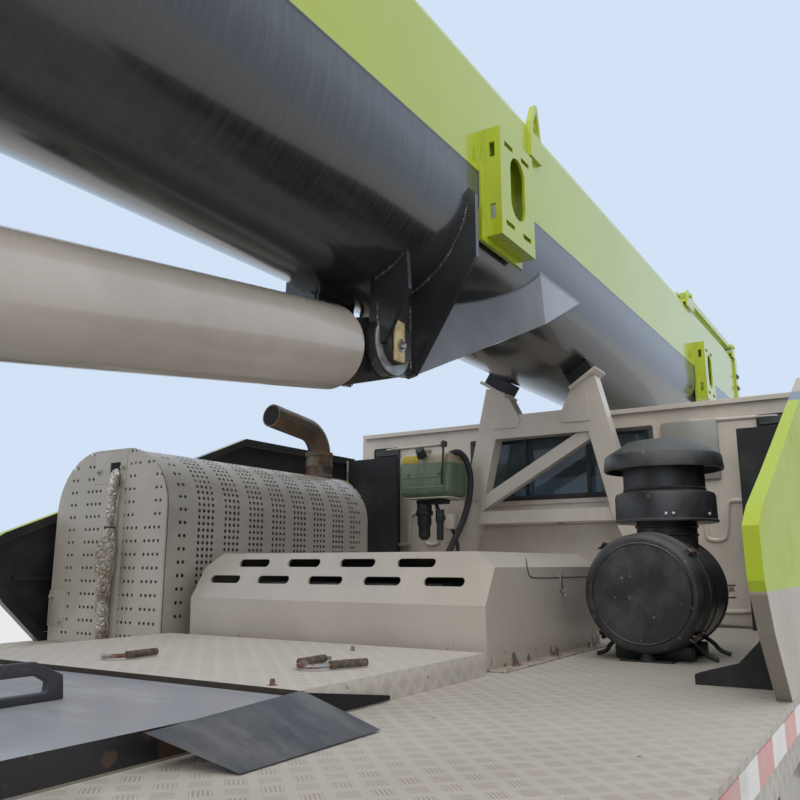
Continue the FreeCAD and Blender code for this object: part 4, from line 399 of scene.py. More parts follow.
rust_spots = sleeve_rust.step(sleeve_rust.cloud(70.0, 5.0, rough=0.7), 0.4, 0.7)
sleeve_rust.set("Base Color", sleeve_rust.mix(rust_spots, (0.055, 0.048, 0.042), (0.20, 0.13, 0.08)))
sleeve_rust.raise_by(sleeve_rust.cloud(90.0, 4.0), 0.5, 0.001)
grips = bmesh.new()
for spots in (((-0.47, 0.135, 1.381), (-0.495, 0.125, 1.384), (-0.49, 0.085, 1.384), (-0.44, 0.075, 1.384),
               (-0.375, 0.078, 1.384)),
              ((-0.25, -0.352, 1.384), (-0.33, -0.352, 1.384), (-0.395, -0.372, 1.384), (-0.405, -0.41, 1.384),
               (-0.37, -0.435, 1.384), (-0.30, -0.462, 1.384))):
    rod(grips, list(spots), 0.005, sides=3)
settle("folded_grips", grips, clip_steel, "chassis")
sleeves = bmesh.new()
for start, end in (((-0.46, 0.073, 1.3855), (-0.37, 0.078, 1.3855)),
                   ((-0.36, -0.435, 1.3855), (-0.28, -0.472, 1.3855)),
                   ((-0.36, -0.354, 1.3855), (-0.27, -0.352, 1.3855))):
    rod(sleeves, [start, end], 0.0085, sides=3)
settle("grip_sleeves", sleeves, sleeve_rust, "chassis")
deck_screws = bmesh.new()
for spot in ((-0.585, -0.475, 1.3725), (-0.02, -0.25, 1.3725)):
    bolt(deck_screws, spot, (0, 0, 1), 0.011)
settle("platform_screws", deck_screws, clip_steel, "chassis")

# A lifting loop cut from plate stands on the grey plate. The platform's folded lip is cut away near its corner, and
# a thin black sheet under it there is painted shade.
loop = bmesh.new()
rim = ((-1.20, 1.3655), (-1.20, 1.41), (-1.175, 1.431), (-0.90, 1.431), (-0.846, 1.405), (-0.842, 1.3655))
slot = ((-1.165, 1.380), (-1.165, 1.395), (-1.15, 1.409), (-0.90, 1.409), (-0.876, 1.396), (-0.878, 1.380))
outer, inner = [[loop.verts.new((x, -0.222, z)) for x, z in ring] for ring in (rim, slot)]
for place in range(6):
    loop.faces.new((outer[place - 1], outer[place], inner[place], inner[place - 1]))
loop.normal_update()
bmesh.ops.solidify(loop, geom=loop.faces[:], thickness=0.014)
bmesh.ops.bevel(loop, geom=loop.edges[:], offset=0.002, offset_type="OFFSET", affect="EDGES", segments=1, profile=0.5,
                material=-1)
loop_black = Finish("loop_black", (0.03, 0.031, 0.035), 0.4, coat_weight=0.2)
rubbed = loop_black.step(loop_black.cloud(24.0, 5.0, rough=0.7), 0.5, 0.7)
loop_black.set("Base Color", loop_black.mix(rubbed * 0.6, (0.03, 0.031, 0.035), (0.12, 0.085, 0.06)))
settle("lifting_loop", loop, loop_black, "chassis")
# A near-black coat for thin sheets set in gaps and openings, as painted shade.
shade_black = Finish("shade_black", (0.006, 0.006, 0.006), 0.9)
shade_black.set("Base Color", shade_black.mix(shade_black.cloud(30.0), (0.004, 0.004, 0.004), (0.012, 0.01, 0.009)))
lip_shade_sheet = bmesh.new()
lip_shade_sheet.faces.new([lip_shade_sheet.verts.new((x, -0.5645, z)) for x, z in (
    (-0.606, 1.3235), (-0.33, 1.3235), (-0.33, 1.332), (-0.606, 1.3715))])
lip_shade_sheet.normal_update()
bmesh.ops.solidify(lip_shade_sheet, geom=lip_shade_sheet.faces[:], thickness=0.003)
settle("lip_shade", lip_shade_sheet, shade_black, "chassis")

# Retro-reflective tape runs along both edges of the deck, in red and white lengths of 150 mm.
tape = Finish("tape", (0.6, 0.6, 0.6), 0.35, coat_weight=0.5)
turns = tape.add("ShaderNodeMath", {"operation": "PINGPONG"}, {0: tape.axes(tape.place)[0] / 0.15, 1: 1.0})
cells = tape.add("ShaderNodeTexVoronoi", {"feature": "DISTANCE_TO_EDGE"}, {"Vector": tape.place, "Scale": 260.0})
red_or_white = tape.mix(tape.step(turns, 0.49, 0.51), (0.55, 0.045, 0.03), (0.70, 0.70, 0.68))
dirty = tape.step(tape.cloud(8.0, 5.0), 0.45, 0.75)
tape.set("Base Color", tape.mix(dirty * 0.5, red_or_white, (0.30, 0.25, 0.2)))
tape.raise_by(tape.step(cells, 0.0, 0.1), 0.3, 0.0004)
strips = bmesh.new()
for side in (-1, 1):
    lump(strips, (-2.0, side * 1.2508, 1.283), (8.2, 0.0016, 0.05), 0.0004, steps=1)
settle("edge_tape", strips, tape, "chassis")

# Fuel tank, battery box, tool lockers and air tanks hang under the deck. Their doors have a raised field, two
# slotted latches and a hinge along the top, and the tanks have a black cap and drain plugs.
box_paint = sprayed("box_paint", (0.33, 0.295, 0.255), 0.36, dust=0.3, chips=0.5, streaks=0.4)
box_paint.on("side_boxes")
doors, fasteners, tank_caps = bmesh.new(), bmesh.new(), bmesh.new()
for side in (-1, 1):
    for x in (-5.19, -4.39):
        lump(doors, (x, side * 1.2015, 1.02), (0.76, 0.007, 0.47), 0.003)
        lump(doors, (x, side * 1.205, 1.02), (0.62, 0.006, 0.34), 0.003)
        for latch in (-0.24, 0.24):
            lump(fasteners, (x + latch, side * 1.209, 0.83), (0.05, 0.008, 0.03), 0.003)
        for hinge in (-0.25, 0.25):
            rod(fasteners, [(x + hinge - 0.04, side * 1.208, 1.262), (x + hinge + 0.04, side * 1.208, 1.262)], 0.007)
lump(doors, (-0.18, 1.1915, 0.90), (0.66, 0.006, 0.50), 0.003)
for z in (0.76, 0.83, 0.90, 0.97, 1.04):
    lump(doors, (-0.18, 1.196, z), (0.56, 0.008, 0.02), 0.003)
for x in (-0.44, 0.08):
    lump(fasteners, (x, 1.197, 1.12), (0.035, 0.01, 0.05), 0.003)
turned(tank_caps, [(0, 0.0), (0.046, 0.0), (0.046, 0.028), (0.040, 0.034), (0.0, 0.036)], (-0.06, -1.2245, 1.11),
       (0, -1, 0), 32)
lump(tank_caps, (-0.06, -1.262, 1.11), (0.075, 0.012, 0.016), 0.004)
turned(tank_caps, [(0, 0.0), (0.036, 0.0), (0.036, 0.03), (0.030, 0.036), (0.0, 0.036)], (0.98, -1.149, 1.02),
       (0, -1, 0), 28)
for z in (0.76, 1.04):
    for x, way in ((1.178, 1), (0.332, -1)):
        turned(tank_caps, [(0, 0.0), (0.022, 0.0), (0.022, 0.014), (0, 0.014)], (x, 0.76, z), (way, 0, 0), 6)
settle("box_doors", doors, box_paint, "chassis")
settle("box_latches", fasteners, nut_steel, "chassis")
moulded_black = Finish("moulded_black", (0.028, 0.029, 0.031), 0.5, specular_ior_level=0.4)
haze = moulded_black.step(moulded_black.cloud(4.0, 5.0), 0.4, 0.75)
moulded_black.set("Base Color", moulded_black.mix(haze * 0.4, (0.026, 0.027, 0.029), (0.12, 0.115, 0.105)))
moulded_black.set("Roughness", 0.42 + 0.25 * haze)
moulded_black.raise_by(moulded_black.cloud(160.0, 2.0), 0.2, 0.0005)
settle("tank_caps", tank_caps, moulded_black, "chassis")

# The outrigger beams end in a striped plate, and each jack's cylinder is capped and fed by two short hoses.
beam_tape = Finish("beam_tape", (0.6, 0.6, 0.6), 0.4, coat_weight=0.3)
x, y, z = beam_tape.axes(beam_tape.place)
slant = beam_tape.add("ShaderNodeMath", {"operation": "PINGPONG"}, {0: (x + z) / 0.06, 1: 1.0})
beam_tape.set("Base Color", beam_tape.mix(beam_tape.step(slant, 0.47, 0.53), (0.55, 0.045, 0.03), (0.68, 0.68, 0.66)))
jack_rows = (("front_left", -0.775, 1), ("front_right", -1.025, -1), ("rear_left", -5.865, 1), ("rear_right", -6.115, -1))
for label, x, side in jack_rows:
    band, cap = bmesh.new(), bmesh.new()
    lump(band, (x, side * 1.1775, 0.72), (0.155, 0.003, 0.12), 0.001)
    turned(band, [(0.0855, -0.06), (0.0868, -0.06), (0.0868, 0.06), (0.0855, 0.06), (0.0855, -0.06)],
           (x, side * 1.09, 1.20), (0, 0, 1), 40)
    settle("beam_tape_" + label, band, beam_tape, "outrigger_beam_" + label)
    turned(cap, [(0.061, 0.0), (0.082, 0.0), (0.082, -0.02), (0.061, -0.02), (0.061, 0.0)],
           (x, side * 1.09, 0.6395), (0, 0, 1), 36)
    for way in (-1, 1):
        turned(cap, [(0, 0.0), (0.014, 0.0), (0.014, 0.02), (0, 0.02)], (x + way * 0.04, side * 1.008, 1.24),
               (0, -side, 0), 6)
    settle("jack_seal_" + label, cap, moulded_black, "outrigger_beam_" + label)

# The truck's cab is pressed sheet in a glossy warm cream-grey, with rounded pressings and rubber-set glass.
cab_paint = sprayed("cab_paint", (0.66, 0.60, 0.53), 0.22, dust=0.25, coat=0.7, streaks=0.12)
cab_paint.on("cab_shell", "door_left", "door_right", "front_bumper")
tinted_glass = Finish("tinted_glass", (0.20, 0.25, 0.28), 0.03, transmission_weight=0.75, ior=1.45)
film = tinted_glass.step(tinted_glass.cloud(3.0, 5.0), 0.4, 0.75)
tinted_glass.set("Roughness", 0.02 + 0.1 * film)
tinted_glass.on("cab_glass", "door_left_glass", "door_right_glass", "operator_glass", "operator_door_glass")
trim_cloth = Finish("trim_cloth", (0.035, 0.037, 0.042), 0.85, sheen_weight=0.2)
weave = trim_cloth.add("ShaderNodeTexVoronoi", {}, {"Vector": trim_cloth.place, "Scale": 420.0})
trim_cloth.set("Base Color", trim_cloth.mix(trim_cloth.cloud(5.0, 3.0), (0.028, 0.03, 0.035), (0.06, 0.06, 0.065)))
trim_cloth.raise_by(weave, 0.4, 0.0008)
trim_cloth.on("cab_interior", "operator_seat")
moulded_black.on("mirrors")

# The cab's rear wall is stiffened by long beads pressed into it. Its sliding window sits in a black rubber frame, with
# a ventilation grille at each corner post and a plain grey cover beside the window.
beads_in_wall = bmesh.new()
for side in (-1, 1):
    rod(beads_in_wall, [(2.108, side * y, z) for y, z in (
        (0.699, 1.80), (0.697, 1.724), (0.705, 1.702), (0.743, 1.696), (0.771, 1.70), (0.785, 1.722),
        (0.797, 1.847), (0.805, 1.868), (0.834, 1.873), (0.868, 1.868), (0.882, 1.844), (0.886, 1.722),
        (0.894, 1.70), (0.93, 1.696), (0.968, 1.70), (0.976, 1.722), (0.978, 1.80))], 0.011, sides=4)
    rod(beads_in_wall, [(2.108, side * y, z) for y, z in (
        (1.03, 1.556), (0.905, 1.556), (0.880, 1.545), (0.874, 1.52), (0.871, 1.42), (0.862, 1.396), (0.84, 1.386),
        (0.70, 1.386))], 0.011, sides=4)
    rod(beads_in_wall, [(2.108, side * y, z) for y, z in (
        (1.05, 2.02), (1.053, 2.215), (1.045, 2.235), (1.02, 2.243), (0.70, 2.246), (0.66, 2.25))], 0.009, sides=4)
    lump(beads_in_wall, (2.105, side * 0.34, 1.80), (0.012, 0.72, 0.022), 0.005)
settle("wall_beads", beads_in_wall, cab_paint, "chassis")
rubbers = bmesh.new()
for z in (1.926, 2.234):
    lump(rubbers, (2.098, 0.0, z), (0.018, 0.975, 0.024), 0.006)
for y in (-0.476, 0.476, -0.165, 0.165):
    lump(rubbers, (2.099, y, 2.08), (0.016, 0.022 if abs(y) < 0.4 else 0.028, 0.32), 0.006)
for side in (-1, 1):
    lump(rubbers, (2.104, side * 1.035, 1.86), (0.010, 0.17, 0.78), 0.012)
    for step in range(18):
        lump(rubbers, (2.0975, side * 1.035, 1.51 + 0.041 * step), (0.008, 0.145, 0.012), 0.003,
             Matrix.Rotation(math.radians(28), 3, "Y").to_quaternion(), 1)
lump(rubbers, (2.074, 0.0, 1.318), (0.026, 2.36, 0.012), 0.003)
settle("window_rubbers", rubbers, moulded_black, "chassis")
cover_grey = sprayed("cover_grey", (0.30, 0.295, 0.275), 0.35, dust=0.3, streaks=0.3)
panels = bmesh.new()
lump(panels, (2.098, -0.655, 2.11), (0.022, 0.255, 0.28), 0.010)
settle("wall_cover", panels, cover_grey, "chassis")

# Grab rails stand beside the doors, and the mirrors are silvered. The windscreen sits in a rubber, with two wipers
# parked across its foot and a rail to hold while cleaning it.
rails = bmesh.new()
for side in (-1, 1):
    rod(rails, [(2.715, side * 1.208, 1.22), (2.715, side * 1.262, 1.22), (2.715, side * 1.270, 1.24),
                (2.715, side * 1.270, 1.88), (2.715, side * 1.262, 1.90), (2.715, side * 1.208, 1.90)], 0.014)
rod(rails, [(4.25, -0.62, 1.46), (4.285, -0.62, 1.46), (4.29, -0.60, 1.46), (4.29, 0.60, 1.46), (4.285, 0.62, 1.46),
            (4.25, 0.62, 1.46)], 0.012)
slope = 0.29 / 0.84
for hub, reach in ((0.62, -0.56), (-0.34, -0.56)):
    for spots in ([(1.53, hub), (1.62, hub + 0.25 * reach), (1.68, hub + 0.55 * reach)],):
        rod(rails, [(4.262 - (z - 1.5) * slope, y, z) for z, y in spots], 0.008)
    for offset in (-0.012, 0.0):
        rod(rails, [(4.256 - (1.60 - 1.5) * slope, hub + 0.10 * reach, 1.60 + offset),
                    (4.256 - (1.70 - 1.5) * slope, hub + 1.05 * reach, 1.70 + offset)], 0.007)
    turned(rails, [(0, 0.024), (0.016, 0.022), (0.022, 0.012), (0.022, 0.0), (0, 0.0)],
           (4.241, hub, 1.53), (0.945, 0, 0.326), 24)
for side in (-1, 1):
    rod(rails, [(4.2315, side * 1.13, 1.552), (4.2315 - 0.69 * slope, side * 1.13, 2.248)], 0.016)
for z in (1.552, 2.248):
    rod(rails, [(4.2315 - (z - 1.552) * slope, -1.13, z), (4.2315 - (z - 1.552) * slope, 1.13, z)], 0.016)
for side in (-1, 1):
    lump(rails, (4.30, side * 1.0, 0.664), (0.10, 0.26, 0.012), 0.003)
    turned(rails, [(0.066, 0.0), (0.079, 0.0), (0.079, 0.024), (0.073, 0.029), (0.066, 0.029), (0.066, 0.0)],
           (4.3195, side * 0.88, 0.555), (1, 0, 0), 40)
settle("cab_rails", rails, moulded_black, "chassis")
silvered = Finish("silvered", (0.8, 0.82, 0.83), 0.04, metallic=1.0)
silvered.set("Roughness", 0.03 + 0.08 * silvered.step(silvered.cloud(9.0, 4.0), 0.4, 0.8))
glasses = bmesh.new()
for side in (-1, 1):
    lump(glasses, (3.9585, side * 1.38, 1.88), (0.004, 0.13, 0.24), 0.0015)
    lump(glasses, (3.9585, side * 1.38, 1.685), (0.004, 0.13, 0.10), 0.0015)
settle("mirror_glass", glasses, silvered, "chassis")
for side_name, side in (("left", 1), ("right", -1)):
    gasket = bmesh.new()
    for start, end in (((2.856, 1.45), (3.684, 1.45)), ((2.856, 2.119), (3.684, 2.119)), ((2.856, 1.45), (2.856, 2.119)),
                       ((3.684, 1.45), (3.684, 2.119))):
        rod(gasket, [(start[0], side * 1.211, start[1]), (end[0], side * 1.211, end[1])], 0.011)
    lump(gasket, (3.27, side * 1.2105, 0.86), (0.96, 0.006, 0.07), 0.002)
    settle("door_gasket_" + side_name, gasket, moulded_black, "door_" + side_name)

# Lamps have a clear lens in front, amber at the corners and red behind, ribbed on the inside.
lens = Finish("lens", (0.70, 0.22, 0.06), 0.12, coat_weight=0.8)
x, y, z = lens.axes(lens.place)
ribs = lens.add("ShaderNodeTexWave", {"bands_direction": "Z"}, {"Vector": lens.place, "Scale": 60.0})
outer_lamp = lens.step(lens.add("ShaderNodeMath", {"operation": "ABSOLUTE"}, {0: y}), 0.958, 0.962)
in_front = lens.step(x, 0.0, 0.1)
front_glass = lens.mix(outer_lamp, (0.62, 0.66, 0.68), (0.78, 0.27, 0.03))
rear_glass = lens.mix(outer_lamp, (0.50, 0.02, 0.015), (0.72, 0.22, 0.03))
lens.set("Base Color", lens.mix(ribs * 0.25, lens.mix(in_front, rear_glass, front_glass), (0.9, 0.8, 0.75)))
lens.raise_by(ribs, 0.4, 0.001)
lens.on("lamps")

# The side fairings are glass-fibre shells: sprayed lime above and beige below on the outside and along their edges,
# and left in ribbed black inside, on black steel gussets.
fairing = Finish("fairing", (0.028, 0.029, 0.031), 0.4, specular_ior_level=0.3)
x, y, z = fairing.axes(fairing.place)
nx, ny, nz = fairing.axes(fairing.facing)
far_out = fairing.add("ShaderNodeMath", {"operation": "ABSOLUTE"}, {0: y})
hidden = fairing.step(0.0 - y * ny, 0.4, 0.6)
steep = fairing.add("ShaderNodeMath", {"operation": "ABSOLUTE"}, {0: nx})
level = fairing.add("ShaderNodeMath", {"operation": "ABSOLUTE"}, {0: nz})
waist = fairing.step(level, 0.9, 0.95) + fairing.step(steep, 0.996, 0.998)
waist = waist * fairing.step(x, -0.1, -0.08) * fairing.step(z, 1.53, 1.533) * (1.0 - fairing.step(z, 1.549, 1.552))
ribs = fairing.step(steep, 0.996, 0.998) * fairing.step(x, 0.1, 0.11) * (1.0 - fairing.step(z, 1.77, 1.78))
inner_face = 1.0 - fairing.step(far_out, 1.203, 1.208)
black = fairing.step(hidden + inner_face + waist + ribs, 0.5, 1.0)
# The blue-grey band across the edges at this height is a painted reflection of the sky.
band = fairing.step(z, 2.062, 2.064) * (1.0 - fairing.step(z, 2.108, 2.11))
coats = fairing.mix(fairing.step(z, 1.538, 1.541), (0.46, 0.41, 0.355), (0.42, 0.53, 0.03))
coats = fairing.mix(fairing.step(z, 2.108, 2.11), coats, (0.46, 0.42, 0.37))
coats = fairing.mix(band, coats, (0.20, 0.25, 0.33))
# Faces turned rearward below the lime are painted darker: painted shade.
rear_face_shade = fairing.step(0.0 - nx, 0.3, 0.7) * (1.0 - fairing.step(z, 1.53, 1.541))
coats = fairing.mix(rear_face_shade * 0.6, coats, (0.14, 0.115, 0.10))
dusty = fairing.step(fairing.cloud(4.0, 5.0, rough=0.65), 0.42, 0.75)
inside = fairing.mix(dusty * 0.35, (0.024, 0.024, 0.027), (0.12, 0.115, 0.105))
fairing.set("Base Color", fairing.mix(black, fairing.mix(dusty * 0.1, coats, (0.4, 0.35, 0.28)), inside))
fairing.set("Roughness", 0.42 + 0.12 * black + 0.15 * dusty)
fairing.raise_by(fairing.cloud(60.0, 3.0), 0.15, 0.0006)
fairing.on("side_fairings")

# The engine hood is a folded sheet box over the engine, in the same coat as the deck, chipped along its foot.
hood_paint = sprayed("hood_paint", (0.49, 0.445, 0.40), 0.3, dust=0.35, chips=0.25, coat=0.5)
height = hood_paint.axes(hood_paint.place)[2]
scratches = hood_paint.cloud(26.0, 5.0, (1.0, 1.0, 0.45), 0.7)
near_foot = 1.0 - hood_paint.step(height, 1.325, 1.40)
chipped = hood_paint.step(scratches + 0.16 * near_foot, 0.70, 0.72)
hood_shade = hood_paint.mix(near_foot * 0.3, hood_paint.shade, (0.26, 0.21, 0.15))
hood_paint.set("Base Color", hood_paint.mix(chipped * 0.85, hood_shade, (0.055, 0.05, 0.05)))
hood_paint.on("engine_hood")
engine_grey = sprayed("engine_grey", (0.09, 0.10, 0.11), 0.5, dust=0.5, chips=0.6)
engine_grey.on("engine")

# The hood's lid closes on a rubber seal, is held by a toggle latch on each side and hides three screws of its base
# flange, which is folded out along the deck.
flange = bmesh.new()
for side in (-1, 1):
    lump(flange, (0.61, side * 0.555, 1.3225), (0.86, 0.05, 0.004), 0.0012)
settle("hood_flange", flange, hood_paint, "chassis")
catches = bmesh.new()
for side in (-1, 1):
    lump(catches, (0.70, side * 0.5375, 1.535), (0.022, 0.006, 0.05), 0.0015)
    rod(catches, [(0.692, side * 0.541, 1.515), (0.692, side * 0.548, 1.49), (0.708, side * 0.548, 1.49),
                  (0.708, side * 0.541, 1.515)], 0.0022, sides=2)
    for x in (0.30, 0.58, 0.90):
        bolt(catches, (x, side * 0.556, 1.3245), (0, 0, 1), 0.014)
settle("hood_catches", catches, clip_steel, "chassis")
seal = bmesh.new()
for side in (-1, 1):
    rod(seal, [(0.437, side * 0.5345, 1.606), (0.441, side * 0.5352, 1.58), (0.452, side * 0.5354, 1.557),
               (0.48, side * 0.5354, 1.5505), (0.70, side * 0.5354, 1.5495), (1.0, side * 0.5354, 1.5495)], 0.0016,
        sides=2)
settle("hood_seal", seal, moulded_black, "chassis")

# A sheet guard keeps hands off the silencer. It is punched in strips of small holes, rolled over the top, closed by
# a punched end sheet with an arched top, and screwed to the deck.
guard_paint = sprayed("guard_paint", (0.48, 0.45, 0.405), 0.36, dust=0.3, chips=0.1)
guard_paint.on("muffler_guard")
guard_rear, guard_front = 0.11, 1.29
guard_inner, guard_outer, guard_top, guard_foot = 0.610, 1.185, 1.988, 1.321
bend = 0.215
hole_pitch = 0.022


def punched(cells_u, cells_v, hole, is_hole):
    """A flat sheet of square cells, some with an eight-sided hole through them."""
    sheet = bmesh.new()
    bmesh.ops.create_grid(sheet, x_segments=cells_u, y_segments=cells_v, size=0.5)
    bmesh.ops.scale(sheet, vec=(cells_u * hole_pitch, cells_v * hole_pitch, 1), verts=sheet.verts)
    bmesh.ops.translate(sheet, vec=(cells_u * hole_pitch / 2, cells_v * hole_pitch / 2, 0), verts=sheet.verts)
    chosen = [face for face in sheet.faces if is_hole(
        int(face.calc_center_median().x / hole_pitch), int(face.calc_center_median().y / hole_pitch))]
    bmesh.ops.inset_individual(sheet, faces=chosen, thickness=(hole_pitch - hole) / 2, use_even_offset=True)
    corners = list({vert for face in chosen for vert in face.verts})
    bmesh.ops.bevel(sheet, geom=corners, offset=hole * 0.29, offset_type="OFFSET", affect="VERTICES", segments=1,
                    profile=0.5, material=-1)
    small = [face for face in sheet.faces if len(face.verts) == 8 and face.calc_area() < hole * hole]
    bmesh.ops.delete(sheet, geom=small, context="FACES_ONLY")
    return sheet


length_cells, girth = 54, 2 * (guard_top - guard_foot - bend) + math.pi * bend + (
    guard_outer - guard_inner - 2 * bend)
girth_cells = round(girth / hole_pitch)


def wrap_hole(along, around):
    """Strips of four holes side by side, with a strip of two at each end."""
    if around < 3 or around > girth_cells - 3:
        return False
    if along in (2, 3, 50, 51):
        return around % 2 == 0
    return 5 < along < 50 and (along - 6) % 6 < 4


wrap = punched(length_cells, girth_cells, 0.0125, wrap_hole)
straight = guard_top - guard_foot - bend
flat = guard_outer - guard_inner - 2 * bend
for vert in wrap.verts:
    run = vert.co.y * girth / (girth_cells * hole_pitch)
    x = guard_rear + 0.008 + vert.co.x * (guard_front - guard_rear - 0.016) / (length_cells * hole_pitch)
    if run < straight:
        y, z = guard_inner, guard_foot + run
    elif run < straight + bend * math.pi / 2:
        angle = (run - straight) / bend
        y, z = guard_inner + bend * (1 - math.cos(angle)), guard_top - bend * (1 - math.sin(angle))
    elif run < straight + bend * math.pi / 2 + flat:
        y, z = guard_inner + bend + run - straight - bend * math.pi / 2, guard_top
    elif run < straight + bend * math.pi + flat:
        angle = (run - straight - flat - bend * math.pi / 2) / bend
        y, z = guard_outer - bend * (1 - math.sin(angle)), guard_top - bend * (1 - math.cos(angle))
    else:
        y, z = guard_outer, guard_foot + (girth - run)
    vert.co = (x, y, z)
wrap.normal_update()
bmesh.ops.solidify(wrap, geom=wrap.faces[:], thickness=0.003)
guard = settle("guard_wrap", wrap, guard_paint, "chassis", 25.0)
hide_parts("muffler_guard")


def end_hole(across, row):
    """Four groups of holes in every other row, clear of the pipe, the blank plate and the cover."""
    covered = (row > 24 and 8 < across < 17) or (17 < row < 26 and 2 < across < 7)
    return row % 2 == 1 and across in (1, 2, 3, 4, 6, 7, 8, 9, 15, 16, 17, 18, 21, 22) and not covered


for name, x, side in (("guard_end_rear", guard_rear, -1), ("guard_end_front", guard_front - 0.004, 1)):
    end = punched(26, 30, 0.0108, end_hole)
    for vert in end.verts:
        vert.co = (x, guard_inner - 0.004 + vert.co.x * (guard_outer - guard_inner + 0.008) / (26 * hole_pitch),
                   guard_foot + vert.co.y * (guard_top + 0.004 - guard_foot) / (30 * hole_pitch))
    for edge, way in ((guard_inner, -1), (guard_outer, 1)):
        for degrees in range(8, 90, 11):
            lean = Vector((0, way * math.cos(math.radians(degrees)), math.sin(math.radians(degrees))))
            middle = Vector((x, edge - way * bend, guard_top - bend))
            bmesh.ops.bisect_plane(end, geom=end.verts[:] + end.edges[:] + end.faces[:], dist=1e-6,
                                   plane_co=middle + lean * (bend + 0.004), plane_no=lean, clear_outer=True)
    end.normal_update()
    bmesh.ops.solidify(end, geom=end.faces[:], thickness=0.004)
    settle(name, end, guard_paint, "chassis", 25.0)

cover = bmesh.new()
lump(cover, (0.1065, 0.905, 1.927), (0.004, 0.172, 0.112), 0.0015)
lump(cover, (0.1065, 1.152, 1.436), (0.004, 0.092, 0.125), 0.0015)
for y, z in ((0.965, 1.915), (0.835, 1.925), (1.178, 1.478), (1.128, 1.392)):
    bolt(cover, (0.1045, y, z), (-1, 0, 0), 0.013)
rod(cover, [(0.112, 0.838, 1.33), (0.112, 0.838, 1.6), (0.112, 0.84, 1.82), (0.125, 0.842, 1.85)], 0.02)
rod(cover, [(0.108, guard_outer + 0.002, 1.33), (0.108, guard_outer + 0.002, 1.77)], 0.0035)
rod(cover, [(0.108, guard_inner - 0.002, 1.33), (0.108, guard_inner - 0.002, 1.77)], 0.0035)
settle("guard_covers", cover, guard_paint, "chassis")
# A black patch where the drain pipe leaves the cover is painted shade in its slot.
slot_shade = bmesh.new()
lump(slot_shade, (0.1035, 0.878, 1.902), (0.004, 0.05, 0.085), 0.0015)
settle("guard_slot_shade", slot_shade, shade_black, "chassis")
plate_blank = Finish("plate_blank", (0.50, 0.50, 0.49), 0.4, metallic=0.2)
plate_blank.set("Base Color", plate_blank.mix(plate_blank.cloud(18.0, 4.0), (0.46, 0.46, 0.45), (0.56, 0.56, 0.55)))
sticker = bmesh.new()
lump(sticker, (0.1078, 0.712, 1.80), (0.0012, 0.088, 0.14), 0.0005)
settle("guard_plate", sticker, plate_blank, "chassis")

# A drain pipe for rain leaves the guard's top and runs down its end sheet. It is bound in crumpled heat foil and
# tied once with black tape.
foil = Finish("foil", (0.52, 0.46, 0.38), 0.3, metallic=0.55)
crumple = foil.add("ShaderNodeTexVoronoi", {"feature": "DISTANCE_TO_EDGE"}, {"Vector": foil.place, "Scale": 46.0})
dull = foil.cloud(16.0, 5.0, rough=0.7)
foil.set("Base Color", foil.mix(foil.step(dull, 0.4, 0.65), (0.60, 0.55, 0.47), (0.32, 0.26, 0.20)))
foil.set("Roughness", 0.2 + 0.35 * dull)
foil.raise_by(foil.step(crumple, 0.0, 0.25) + dull, 0.8, 0.006)
pipe = bmesh.new()
rod(pipe, [(0.13, 0.876, 1.925), (0.095, 0.868, 1.90), (0.080, 0.85, 1.865), (0.074, 0.847, 1.80), (0.072, 0.846, 1.742),
           (0.07, 0.845, 1.70), (0.064, 0.838, 1.665), (0.060, 0.841, 1.62), (0.061, 0.845, 1.57), (0.066, 0.85, 1.515),
           (0.07, 0.853, 1.455), (0.073, 0.852, 1.39), (0.078, 0.852, 1.322)], 0.04,
    [0.4, 0.4, 0.42, 0.36, 0.35, 0.38, 0.82, 0.86, 0.74, 0.56, 0.56, 0.54, 0.46], 6)
bmesh.ops.subdivide_edges(pipe, edges=[edge for edge in pipe.edges if edge.calc_length() > 0.009], cuts=2,
                          use_grid_fill=True)
pipe.normal_update()
for vert in pipe.verts:
    crease = math.sin(vert.co.z * 210 + 9 * vert.co.y) * math.sin(vert.co.y * 160 + vert.co.z * 90)
    vert.co += vert.normal * (0.0016 * math.sin(vert.co.z * 95 + 3) + 0.0022 * abs(crease))
settle("foil_pipe", pipe, foil, "chassis", 24.0)
band = bmesh.new()
turned(band, [(0.014, -0.005), (0.0185, -0.005), (0.0185, 0.005), (0.014, 0.005), (0.014, -0.005)],
       (0.0705, 0.8455, 1.712), (0.05, -0.05, 1), 24)
settle("foil_band", band, moulded_black, "chassis")

# The exhaust is bare steel tube, blued by heat and rusted brown. Its mouth is closed by a black disc: soot, and painted
# shade inside the pipe.
burnt_steel = Finish("burnt_steel", (0.09, 0.06, 0.045), 0.55, metallic=0.55)
flakes = burnt_steel.cloud(13.0, 6.0, rough=0.7)
rust = burnt_steel.step(flakes, 0.42, 0.66)
burnt_steel.set("Base Color", burnt_steel.mix(rust, (0.17, 0.135, 0.105), (0.25, 0.14, 0.08)))
burnt_steel.set("Roughness", 0.38 + 0.4 * rust)
burnt_steel.set("Metallic", 0.8 - 0.6 * rust)
burnt_steel.raise_by(flakes, 0.5, 0.003)
burnt_steel.on("exhaust_pipe")
clamps = bmesh.new()
turned(clamps, [(0.0575, -0.065), (0.064, -0.065), (0.0655, -0.06), (0.0655, -0.046), (0.0625, -0.042),
                (0.0625, -0.006), (0.065, -0.002), (0.065, 0.004), (0.0625, 0.008), (0.0625, 0.044), (0.0655, 0.048),
                (0.0655, 0.060), (0.064, 0.065), (0.0575, 0.065), (0.0575, -0.065)], (1.22, 0.8405, 2.04), (0, 0, 1), 40)
for z in (1.987, 2.094):
    lump(clamps, (1.175, 0.79, z), (0.03, 0.012, 0.02), 0.003)
    bolt(clamps, (1.168, 0.784, z), (-0.7, -0.7, 0), 0.014)
settle("exhaust_clamps", clamps, burnt_steel, "chassis")
